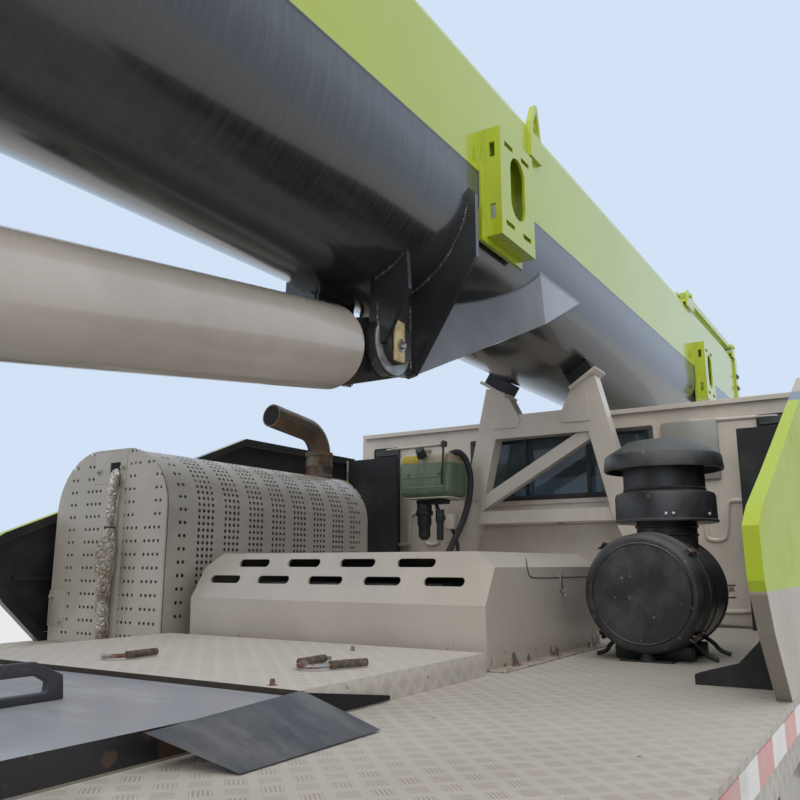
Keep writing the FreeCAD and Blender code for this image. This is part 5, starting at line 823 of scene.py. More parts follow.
# The black disc in the exhaust's mouth is soot and painted shade inside the pipe.
mouth = bmesh.new()
turned(mouth, [(0, 0.0), (0.046, 0.0), (0.046, 0.0015), (0, 0.0015)], (0.897, 0.8605, 2.238), (-0.323, 0.02, 0.045), 40)
settle("exhaust_mouth", mouth, shade_black, "chassis")

# The air cleaner is a rolled steel can on two wire brackets, with a lid held by four spring clips, a drain at its
# foot, and a dust bowl under a domed rain cap on its neck. All of it is black enamel gone dull.
cleaner_x, cleaner_y, cleaner_z = 0.59, -0.815, 1.509
dull_black = Finish("dull_black", (0.03, 0.031, 0.034), 0.42, coat_weight=0.15, coat_roughness=0.3)
powder = dull_black.step(dull_black.cloud(7.0, 6.0, rough=0.65), 0.42, 0.75)
# Upward faces are painted paler: settled dust, and painted light from above.
dust_and_lit_top = dull_black.step(dull_black.axes(dull_black.facing)[2], 0.2, 0.9)
specks = dull_black.step(dull_black.cloud(60.0, 2.0), 0.70, 0.74)
enamel = dull_black.mix(powder * 0.3 + dust_and_lit_top * 0.28, (0.026, 0.027, 0.030), (0.20, 0.195, 0.185))
dull_black.set("Base Color", dull_black.mix(specks * 0.5, enamel, (0.30, 0.28, 0.25)))
dull_black.set("Roughness", 0.36 + 0.25 * powder + 0.2 * dust_and_lit_top)
dull_black.raise_by(dull_black.cloud(90.0, 2.0), 0.15, 0.0006)
can = bmesh.new()
turned(can, [(0, 0.004), (0.138, 0.004), (0.1405, 0.0005), (0.144, 0.004), (0.150, 0.003), (0.158, 0.006),
             (0.166, 0.014), (0.169, 0.024), (0.169, 0.052), (0.172, 0.056), (0.172, 0.064), (0.169, 0.068),
             (0.169, 0.088), (0.175, 0.092), (0.176, 0.100), (0.175, 0.108), (0.168, 0.112), (0.168, 0.196),
             (0.171, 0.200), (0.171, 0.206), (0.168, 0.210), (0.168, 0.336), (0.172, 0.340), (0.172, 0.350),
             (0.166, 0.358), (0.145, 0.392), (0.13, 0.398), (0, 0.4)], (cleaner_x, cleaner_y, cleaner_z), (1, 0, 0), 72)
can_piece = settle("cleaner_can", can, dull_black, "chassis")
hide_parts("air_cleaner")
tower = bmesh.new()
tower_foot = 1.654
turned(tower, [(0, -0.06), (0.091, -0.06), (0.091, 0.020), (0.095, 0.023), (0.095, 0.027), (0.091, 0.030),
               (0.091, 0.046), (0.0955, 0.049), (0.0955, 0.054), (0.091, 0.057), (0.091, 0.066), (0.153, 0.062),
               (0.157, 0.064), (0.157, 0.069), (0.1535, 0.072), (0.1525, 0.142), (0.149, 0.152), (0.138, 0.157),
               (0.124, 0.159), (0.127, 0.166), (0.124, 0.170), (0.124, 0.250), (0.172, 0.244), (0.176, 0.226),
               (0.1815, 0.226), (0.1825, 0.232), (0.178, 0.270), (0.174, 0.275), (0.108, 0.316), (0.098, 0.319),
               (0, 0.321)], (0.85, -0.835, tower_foot), (0, 0, 1), 72)
settle("cleaner_tower", tower, dull_black, "chassis")
clips = bmesh.new()
for degrees in (48, 138, 222, 318):
    out = Vector((0, -math.sin(math.radians(degrees - 90)), math.cos(math.radians(degrees - 90))))
    aside = Vector((1, 0, 0)).cross(out)
    base = Vector((cleaner_x, cleaner_y, cleaner_z)) + out * 0.171
    for way in (-0.011, 0.011):
        rod(clips, [base + aside * way + Vector((0.112, 0, 0)), base + aside * way + out * 0.012 + Vector((0.08, 0, 0)),
                    base + aside * way + out * 0.016 + Vector((0.04, 0, 0)),
                    base + aside * way * 0.6 + out * 0.004 + Vector((0.012, 0, 0))], 0.0022, sides=2)
    facing = Matrix((Vector((1, 0, 0)), aside, out)).transposed().to_quaternion()
    lump(clips, base + out * 0.010 + Vector((0.06, 0, 0)), (0.05, 0.026, 0.003), 0.001, facing, 1)
    lump(clips, base + out * 0.004 + Vector((0.112, 0, 0)), (0.02, 0.034, 0.008), 0.002, facing, 1)
for way in (-1, 1):
    spot = Vector((cleaner_x + 0.30, cleaner_y - 0.178, cleaner_z + way * 0.018))
    rod(clips, [spot, spot + Vector((0, -0.018, 0)), spot + Vector((0.05, -0.018, 0)), spot + Vector((0.05, 0, 0))],
        0.0025, sides=2)
bolt(clips, (cleaner_x + 0.325, cleaner_y - 0.186, cleaner_z), (0, 0, 1), 0.012)
settle("cleaner_clips", clips, clip_steel, "chassis")
rivets = bmesh.new()
for turn in (0.0, 0.14, 0.95):
    out = Vector((-math.cos(turn + 0.25), -math.sin(turn + 0.25), 0))
    turned(rivets, [(0, 0.006), (0.004, 0.005), (0.0062, 0.0015), (0.0062, -0.002), (0, -0.002)],
           Vector((0.85, -0.835, tower_foot + 0.084)) + out * 0.1535, out, 16)
bright_metal = Finish("bright_metal", (0.62, 0.62, 0.61), 0.28, metallic=0.9)
bright_metal.set("Roughness", 0.2 + 0.25 * bright_metal.cloud(50.0, 3.0))
settle("cleaner_rivets", rivets, bright_metal, "chassis")
drain = bmesh.new()
turned(drain, [(0, 0.0), (0.023, 0.0), (0.023, -0.012), (0.018, -0.016), (0.017, -0.05), (0.022, -0.054),
               (0.022, -0.062), (0, -0.062)], (cleaner_x + 0.035, cleaner_y, 1.386), (0, 0, 1), 28)
lump(drain, (cleaner_x + 0.04, cleaner_y, 1.3228), (0.06, 0.15, 0.004), 0.0015)
for x in (0.70, 0.88):
    for way in (-1, 1):
        rod(drain, [(x, cleaner_y + way * 0.10, 1.376), (x, cleaner_y + way * 0.13, 1.36),
                    (x + 0.01, cleaner_y + way * 0.145, 1.332), (x + 0.01, cleaner_y + way * 0.175, 1.3265)], 0.0065)
    lump(drain, (x, cleaner_y, 1.34), (0.04, 0.22, 0.04), 0.004)
settle("cleaner_feet", drain, moulded_black, "chassis")

# The boom rest is a welded trestle of square tube that also carries the expansion tank for the coolant.
rest_paint = sprayed("rest_paint", (0.68, 0.625, 0.56), 0.34, dust=0.3, chips=0.2)
x, y, z = rest_paint.axes(rest_paint.place)
drop = z - 2.825
from_axis = rest_paint.add("ShaderNodeMath", {"operation": "SQRT"}, {0: y * y + drop * drop})
pad = 1.0 - rest_paint.step(from_axis, 0.4235, 0.4245)
rest_paint.set("Base Color", rest_paint.mix(pad, rest_paint.shade, (0.018, 0.018, 0.02)))
rest_paint.set("Roughness", rest_paint.gloss + 0.35 * pad)
rest_paint.on("boom_rest")

# The header tank for the coolant is blow-moulded in pale plastic, green up to the level inside. It has a black screw
# cap, a blank yellow plate, hoses at its right end and a fuel filter hung below it.
blown = Finish("blown", (0.09, 0.13, 0.06), 0.38, coat_weight=0.25, specular_ior_level=0.4)
height = blown.axes(blown.place)[2]
wet = 1.0 - blown.step(height, 2.083, 2.091)
stain = blown.step(blown.cloud(9.0, 5.0, (1, 1, 0.4), 0.65), 0.4, 0.72)
sides_of_tank = blown.mix(wet, (0.52, 0.44, 0.30), (0.15, 0.235, 0.15))
blown.set("Base Color", blown.mix(stain * 0.45, sides_of_tank, (0.30, 0.31, 0.21)))
blown.set("Roughness", 0.3 + 0.3 * stain)
blown.raise_by(blown.cloud(26.0, 3.0), 0.3, 0.0015)
tank = bmesh.new()
lump(tank, (1.78, 0.544, 2.03), (0.198, 0.300, 0.218), 0.034, steps=5)
for z in (1.965, 2.018):
    lump(tank, (1.684, 0.544, z), (0.012, 0.236, 0.009), 0.003)
for y in (0.43, 0.468, 0.506, 0.544, 0.582, 0.62, 0.658):
    lump(tank, (1.78, y, 2.0), (0.202, 0.008, 0.13), 0.003)
for y in (0.63, 0.455):
    turned(tank, [(0, 0.006), (0.008, 0.005), (0.010, 0.002), (0.010, -0.004)], (1.678, y, 2.035), (-1, 0, 0), 20)
turned(tank, [(0.03, 0.0), (0.03, 0.02), (0.026, 0.022)], (1.71, 0.545, 2.135), (0, 0, 1), 24)
tank_piece = settle("header_tank", tank, blown, "chassis")
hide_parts("coolant_tank")
caps = bmesh.new()
turned(caps, [(0, 0.036), (0.018, 0.036), (0.022, 0.033), (0.023, 0.006), (0.026, 0.0), (0.026, -0.008), (0, -0.008)],
       (1.668, 0.545, 2.128), (-0.75, -0.1, 0.65), 10)
turned(caps, [(0, 0.0), (0.036, 0.0), (0.038, -0.006), (0.038, -0.03), (0.044, -0.034), (0.044, -0.052),
              (0.036, -0.058), (0.036, -0.10), (0.030, -0.112), (0.030, -0.16), (0.016, -0.176), (0, -0.178)],
       (1.77, 0.59, 1.888), (0, 0, 1), 32)
turned(caps, [(0, 0.0), (0.02, 0.0), (0.022, -0.004), (0.022, -0.06), (0.017, -0.066), (0.017, -0.15), (0, -0.152)],
       (1.77, 0.50, 1.86), (0, 0, 1), 24)
lump(caps, (1.79, 0.55, 1.90), (0.07, 0.16, 0.022), 0.005)
rod(caps, [(1.668, 0.42, 2.19), (1.664, 0.418, 2.12), (1.664, 0.428, 2.03), (1.668, 0.432, 1.975)], 0.0055)
lump(caps, (1.672, 0.418, 2.172), (0.022, 0.03, 0.03), 0.006)
rod(caps, [(1.74, 0.43, 2.125), (1.76, 0.40, 2.15), (1.80, 0.372, 2.125), (1.82, 0.352, 2.05), (1.82, 0.350, 1.96),
           (1.81, 0.366, 1.86), (1.79, 0.40, 1.76), (1.76, 0.445, 1.66), (1.70, 0.47, 1.52), (1.62, 0.47, 1.40),
           (1.58, 0.46, 1.325)], 0.0155, sides=4)
rod(caps, [(1.77, 0.52, 1.9), (1.76, 0.515, 1.86), (1.79, 0.46, 1.80), (1.85, 0.44, 1.70), (1.87, 0.45, 1.5),
           (1.86, 0.45, 1.325)], 0.010, sides=3)
settle("tank_fittings", caps, moulded_black, "chassis")
shelf = bmesh.new()
lump(shelf, (1.79, 0.54, 1.9165), (0.18, 0.26, 0.007), 0.002)
lump(shelf, (1.885, 0.50, 1.99), (0.007, 0.32, 0.16), 0.002)
lump(shelf, (1.80, 0.455, 1.80), (0.05, 0.06, 0.075), 0.008)
settle("tank_shelf", shelf, rest_paint, "chassis")
yellow_blank = Finish("yellow_blank", (0.70, 0.55, 0.08), 0.4)
yellow_blank.set("Base Color", yellow_blank.mix(yellow_blank.cloud(30.0, 4.0), (0.74, 0.58, 0.08), (0.55, 0.42, 0.08)))
tag = bmesh.new()
lump(tag, (1.6795, 0.617, 2.108), (0.002, 0.095, 0.038), 0.0008)
settle("tank_plate", tag, yellow_blank, "chassis")

# The slewing platform is welded from plate round two tall cheeks, and its counterweight is one casting. Both are
# dark grey and glossy. The boom's foot pins are kept by bolted bars, and the weight has two lifting eyes.
charcoal = sprayed("charcoal", (0.026, 0.027, 0.030), 0.24, dust=0.3, dust_colour=(0.17, 0.16, 0.145), coat=0.6,
                   streaks=0.12)
charcoal.on("turntable", "counterweight")
keepers, keeper_heads = bmesh.new(), bmesh.new()
for side in (-1, 1):
    lump(keepers, (-4.25, side * 0.4795, 2.585), (0.18, 0.012, 0.05), 0.003)
    for x in (-4.315, -4.185):
        bolt(keeper_heads, (x, side * 0.485, 2.585), (0, side, 0), 0.03)
    turned(keeper_heads, [(0, 0.0), (0.018, 0.0), (0.018, 0.01), (0, 0.012)], (-4.25, side * 0.4875, 2.67),
           (0, side, 0), 20)
    rod(keepers, [(-5.80, side * 0.84, 2.24), (-5.80, side * 0.84, 2.30), (-5.78, side * 0.84, 2.325),
                  (-5.72, side * 0.84, 2.325), (-5.70, side * 0.84, 2.30), (-5.70, side * 0.84, 2.24)], 0.016)
    lump(keepers, (-5.398, side * 0.90, 1.60), (0.012, 0.5, 0.16), 0.004)
    for y in (0.70, 1.10):
        bolt(keeper_heads, (-5.392, side * y, 1.60), (1, 0, 0), 0.036)
    for x in (-2.93, -2.67):
        bolt(keeper_heads, (x, side * 0.16, 1.44), (0, 0, 1), 0.03)
    for step in range(5):
        lump(keepers, (-3.2 + 0.22 * step, side * 0.515, 1.4415), (0.11, 0.10, 0.005), 0.002)
settle("platform_keepers", keepers, charcoal, "superstructure")
settle("platform_bolts", keeper_heads, nut_steel, "superstructure")

# The hoist's drum is cast steel with a flange at each end, and three layers of greased wire rope lie on it.
drum_steel = Finish("drum_steel", (0.30, 0.29, 0.28), 0.4, metallic=0.85)
oil = drum_steel.step(drum_steel.cloud(11.0, 4.0), 0.4, 0.7)
drum_steel.set("Base Color", drum_steel.mix(oil, (0.36, 0.35, 0.34), (0.10, 0.085, 0.07)))
drum_steel.set("Roughness", 0.3 + 0.3 * oil)
drum_steel.on("winch_drum", "head_sheaves")
rope_steel = Finish("rope_steel", (0.09, 0.08, 0.07), 0.5, metallic=0.5)
strands = rope_steel.add("ShaderNodeTexWave", {"bands_direction": "DIAGONAL"}, {"Vector": rope_steel.place, "Scale": 90.0})
rope_steel.set("Base Color", rope_steel.mix(strands * 0.6, (0.05, 0.043, 0.036), (0.20, 0.18, 0.16)))
rope_steel.raise_by(strands, 0.6, 0.002)
laid = bmesh.new()
turns_of_rope = [(0.151, -0.2995)]
for wrap_no in range(31):
    middle = -0.288 + 0.0192 * wrap_no
    turns_of_rope += [(0.183 + 0.0096 * math.sin(math.radians(angle)), middle - 0.0096 * math.cos(math.radians(angle)))
                      for angle in (15, 50, 90, 130, 165)]
turns_of_rope += [(0.151, 0.2995), (0.151, -0.2995)]
turned(laid, turns_of_rope, (-5.08, 0.0, 1.90), (0, 1, 0), 56)
settle("rope_layers", laid, rope_steel, "winch")

# The crane driver's cab is folded sheet in the boom's lime green over a dark foot. Its panes are set in rubber, the
# front one has a wiper, and the door slides on two rails behind a tube handle.
lime = sprayed("lime", (0.46, 0.555, 0.026), 0.26, dust=0.15, coat=0.6, streaks=0.08)
lime.on("boom_section_2", "boom_section_3", "boom_section_4")
two_tone = sprayed("two_tone", (0.46, 0.555, 0.026), 0.26, dust=0.2, coat=0.6, streaks=0.12)
height = two_tone.axes(two_tone.place)[2]
foot_band = 1.0 - two_tone.step(height, 1.766, 1.768)
two_tone.set("Base Color", two_tone.mix(foot_band, two_tone.shade, (0.028, 0.029, 0.032)))
two_tone.on("operator_cab", "operator_door")
seals = bmesh.new()
front_lean = 0.30 / 0.81


def rubber_round(mesh, corners, thickness=0.011):
    """A rubber round a pane, from corner to corner."""
    for start, end in zip(corners, corners[1:] + corners[:1]):
        rod(mesh, [start, end], thickness)


def sloped(z):
    """How far forward the leaning front of the driver's cab stands at a height."""
    return -2.05 - (z - 2.15) * front_lean


rubber_round(seals, [(sloped(z) + 0.002, y, z) for y, z in ((0.53, 2.18), (1.135, 2.18), (1.135, 2.87), (0.53, 2.87))])
rubber_round(seals, [(-2.048, y, z) for y, z in ((0.53, 1.80), (1.135, 1.80), (1.135, 2.11), (0.53, 2.11))])
rubber_round(seals, [(x, 0.468, z) for x, z in ((-3.15, 1.90), (-2.40, 1.90), (-2.40, 2.82), (-3.15, 2.82))])
rubber_round(seals, [(x, 1.189, z) for x, z in ((-3.56, 1.90), (-2.99, 1.90), (-2.99, 2.82), (-3.56, 2.82))], 0.009)
rubber_round(seals, [(-3.652, y, z) for y, z in ((0.58, 2.15), (1.085, 2.15), (1.085, 2.82), (0.58, 2.82))])
rubber_round(seals, [(x, y, 2.962) for x, y in ((-3.05, 0.58), (-2.47, 0.58), (-2.47, 1.085), (-3.05, 1.085))])
rod(seals, [(sloped(2.90) + 0.02, 0.83, 2.90), (sloped(2.60) + 0.024, 0.80, 2.60), (sloped(2.45) + 0.02, 0.76, 2.45)], 0.008)
rod(seals, [(sloped(2.80) + 0.012, 0.80, 2.80), (sloped(2.26) + 0.012, 0.73, 2.26)], 0.009)
turned(seals, [(0, 0.03), (0.024, 0.028), (0.03, 0.018), (0.03, 0.0), (0, 0.0)], (sloped(2.90), 0.83, 2.90),
       (0.94, 0, 0.35), 24)
rod(seals, [(-3.60, 1.20, 1.95), (-3.60, 1.226, 1.95), (-3.60, 1.23, 1.97), (-3.60, 1.23, 2.65), (-3.60, 1.226, 2.67),
            (-3.60, 1.20, 2.67)], 0.012)
for z in (1.66, 1.70, 1.74):
    lump(seals, (-3.35, 1.196, z), (0.36, 0.006, 0.016), 0.002)
settle("station_rubbers", seals, moulded_black, "superstructure")
door_seal = bmesh.new()
rubber_round(door_seal, [(x, 1.231, z) for x, z in ((-2.84, 1.90), (-2.33, 1.90), (-2.33, 2.77), (-2.84, 2.77))])
rod(door_seal, [(-2.295, 1.232, 1.95), (-2.295, 1.243, 1.95), (-2.295, 1.243, 2.19), (-2.295, 1.232, 2.19)], 0.004)
settle("station_door_rubber", door_seal, moulded_black, "operator_door")

# The luffing cylinder's barrel is a honed tube in glossy beige. Its rod is ground and chromed, with a black eye. The
# black runs on over the bare rod beside the eye, there as painted shade.
barrel_paint = sprayed("barrel_paint", (0.53, 0.48, 0.425), 0.2, dust=0.2, coat=0.8, streaks=0.1)
barrel_paint.on("lift_barrel")
chrome = Finish("chrome", (0.62, 0.62, 0.63), 0.1, metallic=1.0)
wipe = chrome.cloud(3.0, 4.0, (0.1, 1, 1))
# From x 0.10 on, the rod is painted black: the eye's own black, and painted shade on the bare rod beside it.
eye = chrome.step(chrome.axes(chrome.place)[0], 0.10, 0.102)
chrome.set("Base Color", chrome.mix(eye, (0.62, 0.62, 0.63), (0.016, 0.016, 0.018)))
chrome.set("Metallic", 1.0 - eye)
chrome.set("Roughness", 0.07 + 0.12 * wipe + 0.3 * eye)
chrome.on("lift_rod")

# The boom's base section is pressed from two sheets and welded along its sides. It is lime above a paint line and
# charcoal below it, edged by a thin black stripe. Dust runs down the dark sides after rain, and their upper part is
# painted paler, a painted sheen of the sky.
boom_paint = Finish("boom_paint", (0.43, 0.60, 0.055), 0.24, coat_weight=0.6, coat_roughness=0.1)
height = boom_paint.axes(boom_paint.place)[2]
facing_up = boom_paint.axes(boom_paint.facing)[2]
below = 1.0 - boom_paint.step(height, 2.906, 2.909)
stripe = boom_paint.step(height, 2.894, 2.896) * below
washes = boom_paint.cloud(75.0, 4.0, (1.0, 0.04, 0.04), 0.6)
broad = boom_paint.cloud(1.3, 4.0, (1.0, 1.0, 0.5), 0.6)
# The upper part of the dark sides is painted paler as a painted sky sheen, and the dust washes there are partly that
# sheen.
sheen_high_side = boom_paint.step(height, 2.5, 2.88) * below
dust_and_sheen = boom_paint.step(washes, 0.4, 0.7) * (0.25 + 0.75 * sheen_high_side) * below
top_dust = boom_paint.step(facing_up, 0.6, 0.95) * boom_paint.step(broad, 0.3, 0.7)
green = boom_paint.mix(boom_paint.step(broad, 0.3, 0.7), (0.43, 0.52, 0.02), (0.47, 0.565, 0.026))
grey = boom_paint.mix(sheen_high_side * 0.5, (0.024, 0.025, 0.028), (0.058, 0.059, 0.064))
grey = boom_paint.mix(dust_and_sheen * 0.3, grey, (0.15, 0.152, 0.16))
x, y, z = boom_paint.axes(boom_paint.place)
above_foot = boom_paint.step(z, 2.653, 2.656)
rear_box = boom_paint.step(x, 0.509, 0.512) * (1.0 - boom_paint.step(x, 0.852, 0.855))
front_box = boom_paint.step(x, 3.739, 3.742) * (1.0 - boom_paint.step(x, 4.082, 4.085))
mouth = boom_paint.step(x, 5.298, 5.302)
drop = z - 2.825
from_axis = boom_paint.add("ShaderNodeMath", {"operation": "SQRT"}, {0: y * y + drop * drop})
beyond_side = 1.0 - boom_paint.step(y, -0.3672, -0.3666)
beyond_curve = boom_paint.step(from_axis, 0.3672, 0.368) * (1.0 - boom_paint.step(z, 2.821, 2.825))
on_right = 1.0 - boom_paint.step(y, -0.1, 0.0)
lime_box = boom_paint.step(beyond_side + beyond_curve * on_right, 0.4, 0.6) * above_foot * (rear_box + front_box)
lime_part = boom_paint.step(lime_box + mouth, 0.4, 0.6)
below = below * (1.0 - lime_part)
flares = boom_paint.step(from_axis, 0.369, 0.373) * boom_paint.step(x, 0.472, 0.475) * (
    1.0 - boom_paint.step(x, 1.6, 1.61)) * (1.0 - boom_paint.step(z, 2.73, 2.735))
grey = boom_paint.mix(flares * boom_paint.step(broad, 0.1, 0.9), grey, (0.33, 0.33, 0.345))
coat = boom_paint.mix(below, green, grey)
coat = boom_paint.mix(stripe * (1.0 - lime_part), coat, (0.006, 0.006, 0.007))
boom_paint.set("Base Color", boom_paint.mix(top_dust * 0.3, coat, (0.4, 0.36, 0.28)))
boom_paint.set("Roughness", 0.22 + 0.14 * dust_and_sheen + 0.3 * top_dust)
boom_paint.raise_by(boom_paint.cloud(30.0, 3.0), 0.12, 0.001)
boom_paint.on("boom_base")

# The luffing cylinder's pin is kept by a yellow bar bolted across its end. The weld beads on the plates beside it show
# bare scale where the paint missed them.
primer = Finish("primer", (0.30, 0.31, 0.33), 0.3, metallic=0.2, coat_weight=0.3)
primer.set("Base Color", primer.mix(primer.step(primer.cloud(24.0, 4.0), 0.4, 0.7), (0.33, 0.34, 0.36),
                                    (0.20, 0.19, 0.18)))
keeper_yellow = Finish("keeper_yellow", (0.55, 0.40, 0.12), 0.4, coat_weight=0.3)
keeper_yellow.set("Base Color", keeper_yellow.mix(
    keeper_yellow.step(keeper_yellow.cloud(30.0, 5.0), 0.4, 0.7), (0.62, 0.48, 0.22), (0.36, 0.27, 0.14)))
discs, rings, bars, studs = bmesh.new(), bmesh.new(), bmesh.new(), bmesh.new()
for side in (-1, 1):
    turned(discs, [(0.055, 0.0), (0.098, 0.0), (0.1, 0.002), (0.1, 0.006), (0.098, 0.008), (0.055, 0.008),
                   (0.055, 0.0)], (0.34, side * 0.1345, 2.28), (0, side, 0), 48)
    turned(rings, [(0.054, 0.0), (0.066, 0.0), (0.066, 0.024), (0.062, 0.030), (0.0, 0.030)],
           (0.34, side * 0.1405, 2.28), (0, side, 0), 40)
    lump(bars, (0.318, side * 0.176, 2.282), (0.058, 0.012, 0.135), 0.006)
    bolt(studs, (0.32, side * 0.182, 2.268), (0, side, 0), 0.026)
settle("lug_faces", discs, primer, "boom_base")
settle("pin_rings", rings, moulded_black, "boom_base")
settle("pin_keepers", bars, keeper_yellow, "boom_base")
settle("keeper_bolts", studs, clip_steel, "boom_base")
bead_steel = Finish("bead_steel", (0.05, 0.045, 0.04), 0.5)
scale_spots = bead_steel.step(bead_steel.cloud(110.0, 4.0, rough=0.7), 0.5, 0.62)
bead_steel.set("Base Color", bead_steel.mix(scale_spots, (0.035, 0.034, 0.036), (0.34, 0.29, 0.22)))
bead_steel.raise_by(scale_spots, 0.5, 0.001)
beads = bmesh.new()
for side in (-1, 1):
    for x, first, last in ((0.2535, 20, 44), (0.4485, 20, 84), (0.4715, 20, 70)):
        rod(beads, [(x, side * 0.366 * math.sin(math.radians(a)), 2.825 - 0.366 * math.cos(math.radians(a)))
                    for a in range(first, last, 4)], 0.005, sides=2)
    for x, low, high in ((0.254, 2.27, 2.40), (0.449, 2.22, 2.44)):
        rod(beads, [(x, side * 0.137, low), (x, side * 0.1365, high)], 0.005, sides=2)
settle("weld_beads", beads, bead_steel, "boom_base")

# A silver guide ring is bolted beside the boom's mouth, the wear pads inside it are set by bolts in its collar, and
# hoses and a cable for the length sensor run along its left side from a reel.
guide = bmesh.new()
turned(guide, [(0.020, 0.0), (0.036, 0.0), (0.040, 0.004), (0.040, 0.016), (0.036, 0.020), (0.020, 0.020),
               (0.020, 0.0)], (5.26, -0.395, 2.905), (0, -1, 0), 36)
settle("guide_ring", guide, bright_metal, "boom_base")
pad_bolts = bmesh.new()
for side in (-1, 1):
    for x in (5.33, 5.375):
        for z in (2.95, 3.05, 3.15):
            bolt(pad_bolts, (x, side * 0.379, z), (0, side, 0), 0.024)
for x in (5.33, 5.375):
    for y in (-0.22, 0.0, 0.22):
        bolt(pad_bolts, (x, y, 3.349), (0, 0, 1), 0.024)
settle("pad_bolts", pad_bolts, nut_steel, "boom_base")
reel = bmesh.new()
turned(reel, [(0, 0.0), (0.165, 0.0), (0.17, 0.006), (0.17, 0.012), (0.15, 0.018), (0.15, 0.042), (0.17, 0.048),
              (0.17, 0.054), (0.165, 0.060), (0.06, 0.062), (0.05, 0.072), (0.0, 0.074)], (-1.55, 0.366, 2.95),
       (0, 1, 0), 48)
for x in (0.4, 2.4, 4.4):
    rod(reel, [(x, 0.362, 3.10), (x, 0.395, 3.10), (x + 0.004, 0.40, 3.12), (x, 0.395, 3.14), (x, 0.362, 3.14)], 0.006)
rod(reel, [(-1.52, 0.39, 3.095), (-1.2, 0.39, 3.11), (0.4, 0.39, 3.118), (2.4, 0.39, 3.118), (4.4, 0.39, 3.118),
           (5.32, 0.39, 3.118)], 0.0045)
for y, z in ((0.384, 2.78), (0.384, 2.735)):
    rod(reel, [(-2.0, y, z), (-0.5, y, z), (2.0, y, z), (4.6, y, z), (5.28, y, z)], 0.011)
for x in (-1.9, -0.6, 0.7, 2.0, 3.3, 4.6):
    lump(reel, (x, 0.379, 2.757), (0.05, 0.034, 0.085), 0.006)
settle("boom_lines", reel, moulded_black, "boom_base")

# The head turns four cast sheaves on one pin between its cheeks. The hook block under it is bright yellow, so that
# it is seen against the load, and its forged hook has a spring latch.
hook_yellow = sprayed("hook_yellow", (0.72, 0.44, 0.03), 0.34, dust=0.3, chips=1.2)
x, y, z = hook_yellow.axes(hook_yellow.place)
inboard = 1.0 - hook_yellow.step(hook_yellow.add("ShaderNodeMath", {"operation": "ABSOLUTE"}, {0: y}), 0.062, 0.068)
falls = inboard * hook_yellow.step(z, 1.727, 1.73)
hook_yellow.set("Base Color", hook_yellow.mix(falls, hook_yellow.shade, (0.11, 0.10, 0.09)))
hook_yellow.on("hook_block")
head_parts, hook_parts = bmesh.new(), bmesh.new()
for side in (-1, 1):
    turned(head_parts, [(0, 0.0), (0.075, 0.0), (0.075, 0.01), (0.06, 0.014), (0, 0.014)], (6.12, side * 0.2365, 2.36),
           (0, side, 0), 36)
    for degrees in (30, 150, 270):
        bolt(head_parts, (6.12 + 0.052 * math.cos(math.radians(degrees)), side * 0.2495,
                          2.36 + 0.052 * math.sin(math.radians(degrees))), (0, side, 0), 0.02)
    for x, z in ((6.02, 1.62), (6.22, 1.62), (6.12, 1.70)):
        bolt(hook_parts, (0.45 * x + 0.55 * 6.12, side * 0.0945, z + 0.01), (0, side, 0), 0.022)
    turned(hook_parts, [(0, 0.0), (0.05, 0.0), (0.05, 0.008), (0.04, 0.012), (0, 0.012)], (6.12, side * 0.1045, 1.64),
           (0, side, 0), 32)
rod(hook_parts, [(6.12, 0.0, 1.275), (6.155, 0.0, 1.255), (6.195, 0.0, 1.235), (6.205, 0.0, 1.225)], 0.009)
settle("head_pin_plates", head_parts, charcoal, "boom_section_4")
settle("hook_fittings", hook_parts, nut_steel, "hook_block")

# The machine stands on a plain pale floor under soft light from above and behind the camera's right shoulder, and
# the camera is where the photographer stood, on the deck's right side, looking forward across it.
eye = Vector((-1.75, -1.483, 1.588))
right, up, ahead = Vector((0.53333, -0.84591, 0.0)), Vector((-0.17087, -0.10773, 0.97939)), Vector(
    (0.82847, 0.52233, 0.202))
lens_data = bpy.data.cameras.new("deck_view")
lens_data.sensor_width, lens_data.lens, lens_data.clip_start = 36.0, 36.0, 0.02
camera = bpy.data.objects.new("deck_view", lens_data)
camera.matrix_world = Matrix((
    (right.x, up.x, -ahead.x, eye.x), (right.y, up.y, -ahead.y, eye.y), (right.z, up.z, -ahead.z, eye.z),
    (0, 0, 0, 1)))
bpy.context.scene.collection.objects.link(camera)
bpy.context.scene.camera = camera

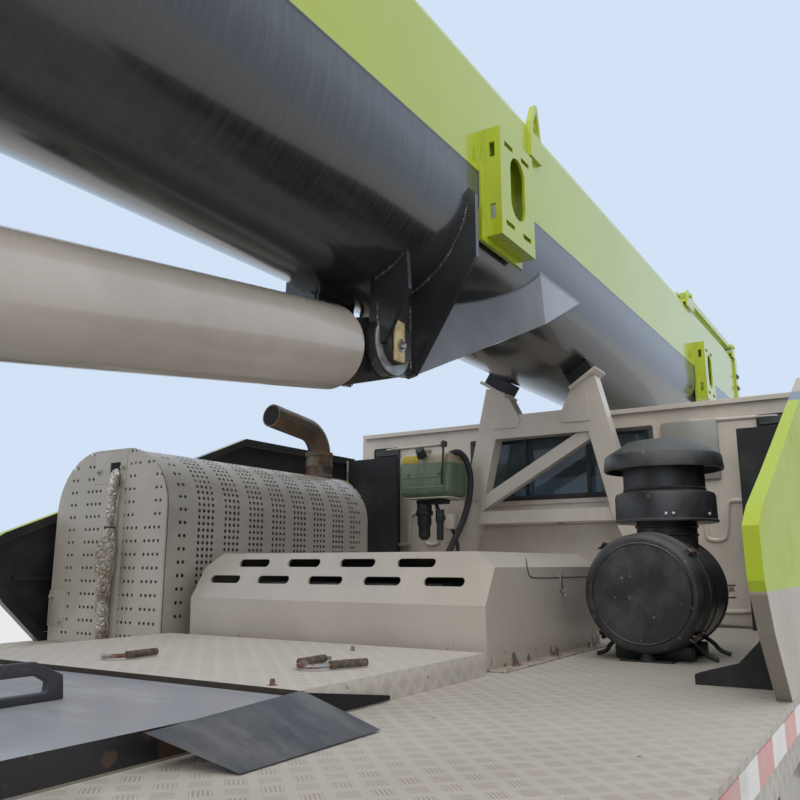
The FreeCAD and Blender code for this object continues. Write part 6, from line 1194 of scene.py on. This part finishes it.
mesh = bmesh.new()
bmesh.ops.create_grid(mesh, x_segments=1, y_segments=1, size=60.0)
floor_mesh = bpy.data.meshes.new("pale_floor")
mesh.to_mesh(floor_mesh)
mesh.free()
floor = bpy.data.objects.new("pale_floor", floor_mesh)
bpy.context.scene.collection.objects.link(floor)
screed = Finish("screed", (0.72, 0.72, 0.71), 0.8)
ray_kind = screed.nodes.new("ShaderNodeLightPath").outputs
seen_pale = screed.add("ShaderNodeMath", {"operation": "MAXIMUM"}, {
    0: Line(screed, ray_kind["Is Camera Ray"]), 1: Line(screed, ray_kind["Is Glossy Ray"])})
seen_pale = screed.add("ShaderNodeMath", {"operation": "MAXIMUM"}, {
    0: seen_pale, 1: Line(screed, ray_kind["Is Transmission Ray"])})
pale = screed.mix(screed.cloud(0.6, 3.0), (0.70, 0.70, 0.69), (0.75, 0.75, 0.74))
screed.set("Base Color", screed.mix(seen_pale, (0.36, 0.36, 0.355), pale))
floor.data.materials.append(screed.material)

sky = bpy.data.worlds.new("pale_sky")
bpy.context.scene.world = sky
sky.use_nodes = True
around = sky.node_tree.nodes
seen = around.new("ShaderNodeLightPath")
bright = around.new("ShaderNodeBackground")
bright.inputs["Color"].default_value = (0.65, 0.76, 0.92, 1.0)
bright.inputs["Strength"].default_value = 1.0
soft = around["Background"]
soft.inputs["Color"].default_value = (0.95, 0.975, 1.0, 1.0)
soft.inputs["Strength"].default_value = 0.88
choose = around.new("ShaderNodeMixShader")
shown = seen.outputs["Is Camera Ray"]
for ray in ("Is Glossy Ray", "Is Transmission Ray"):
    either = around.new("ShaderNodeMath")
    either.operation = "MAXIMUM"
    sky.node_tree.links.new(shown, either.inputs[0])
    sky.node_tree.links.new(seen.outputs[ray], either.inputs[1])
    shown = either.outputs[0]
sky.node_tree.links.new(shown, choose.inputs[0])
sky.node_tree.links.new(soft.outputs[0], choose.inputs[1])
sky.node_tree.links.new(bright.outputs[0], choose.inputs[2])
sky.node_tree.links.new(choose.outputs[0], around["World Output"].inputs["Surface"])

lamp_data = bpy.data.lights.new("high_sun", "SUN")
lamp_data.energy, lamp_data.angle, lamp_data.color = 1.2, 1.2, (1.0, 0.95, 0.88)
lamp = bpy.data.objects.new("high_sun", lamp_data)
lamp.rotation_euler = Vector((0.58, 0.24, -0.78)).to_track_quat("-Z", "Y").to_euler()
bpy.context.scene.collection.objects.link(lamp)
bpy.context.scene.view_settings.view_transform = "Standard"
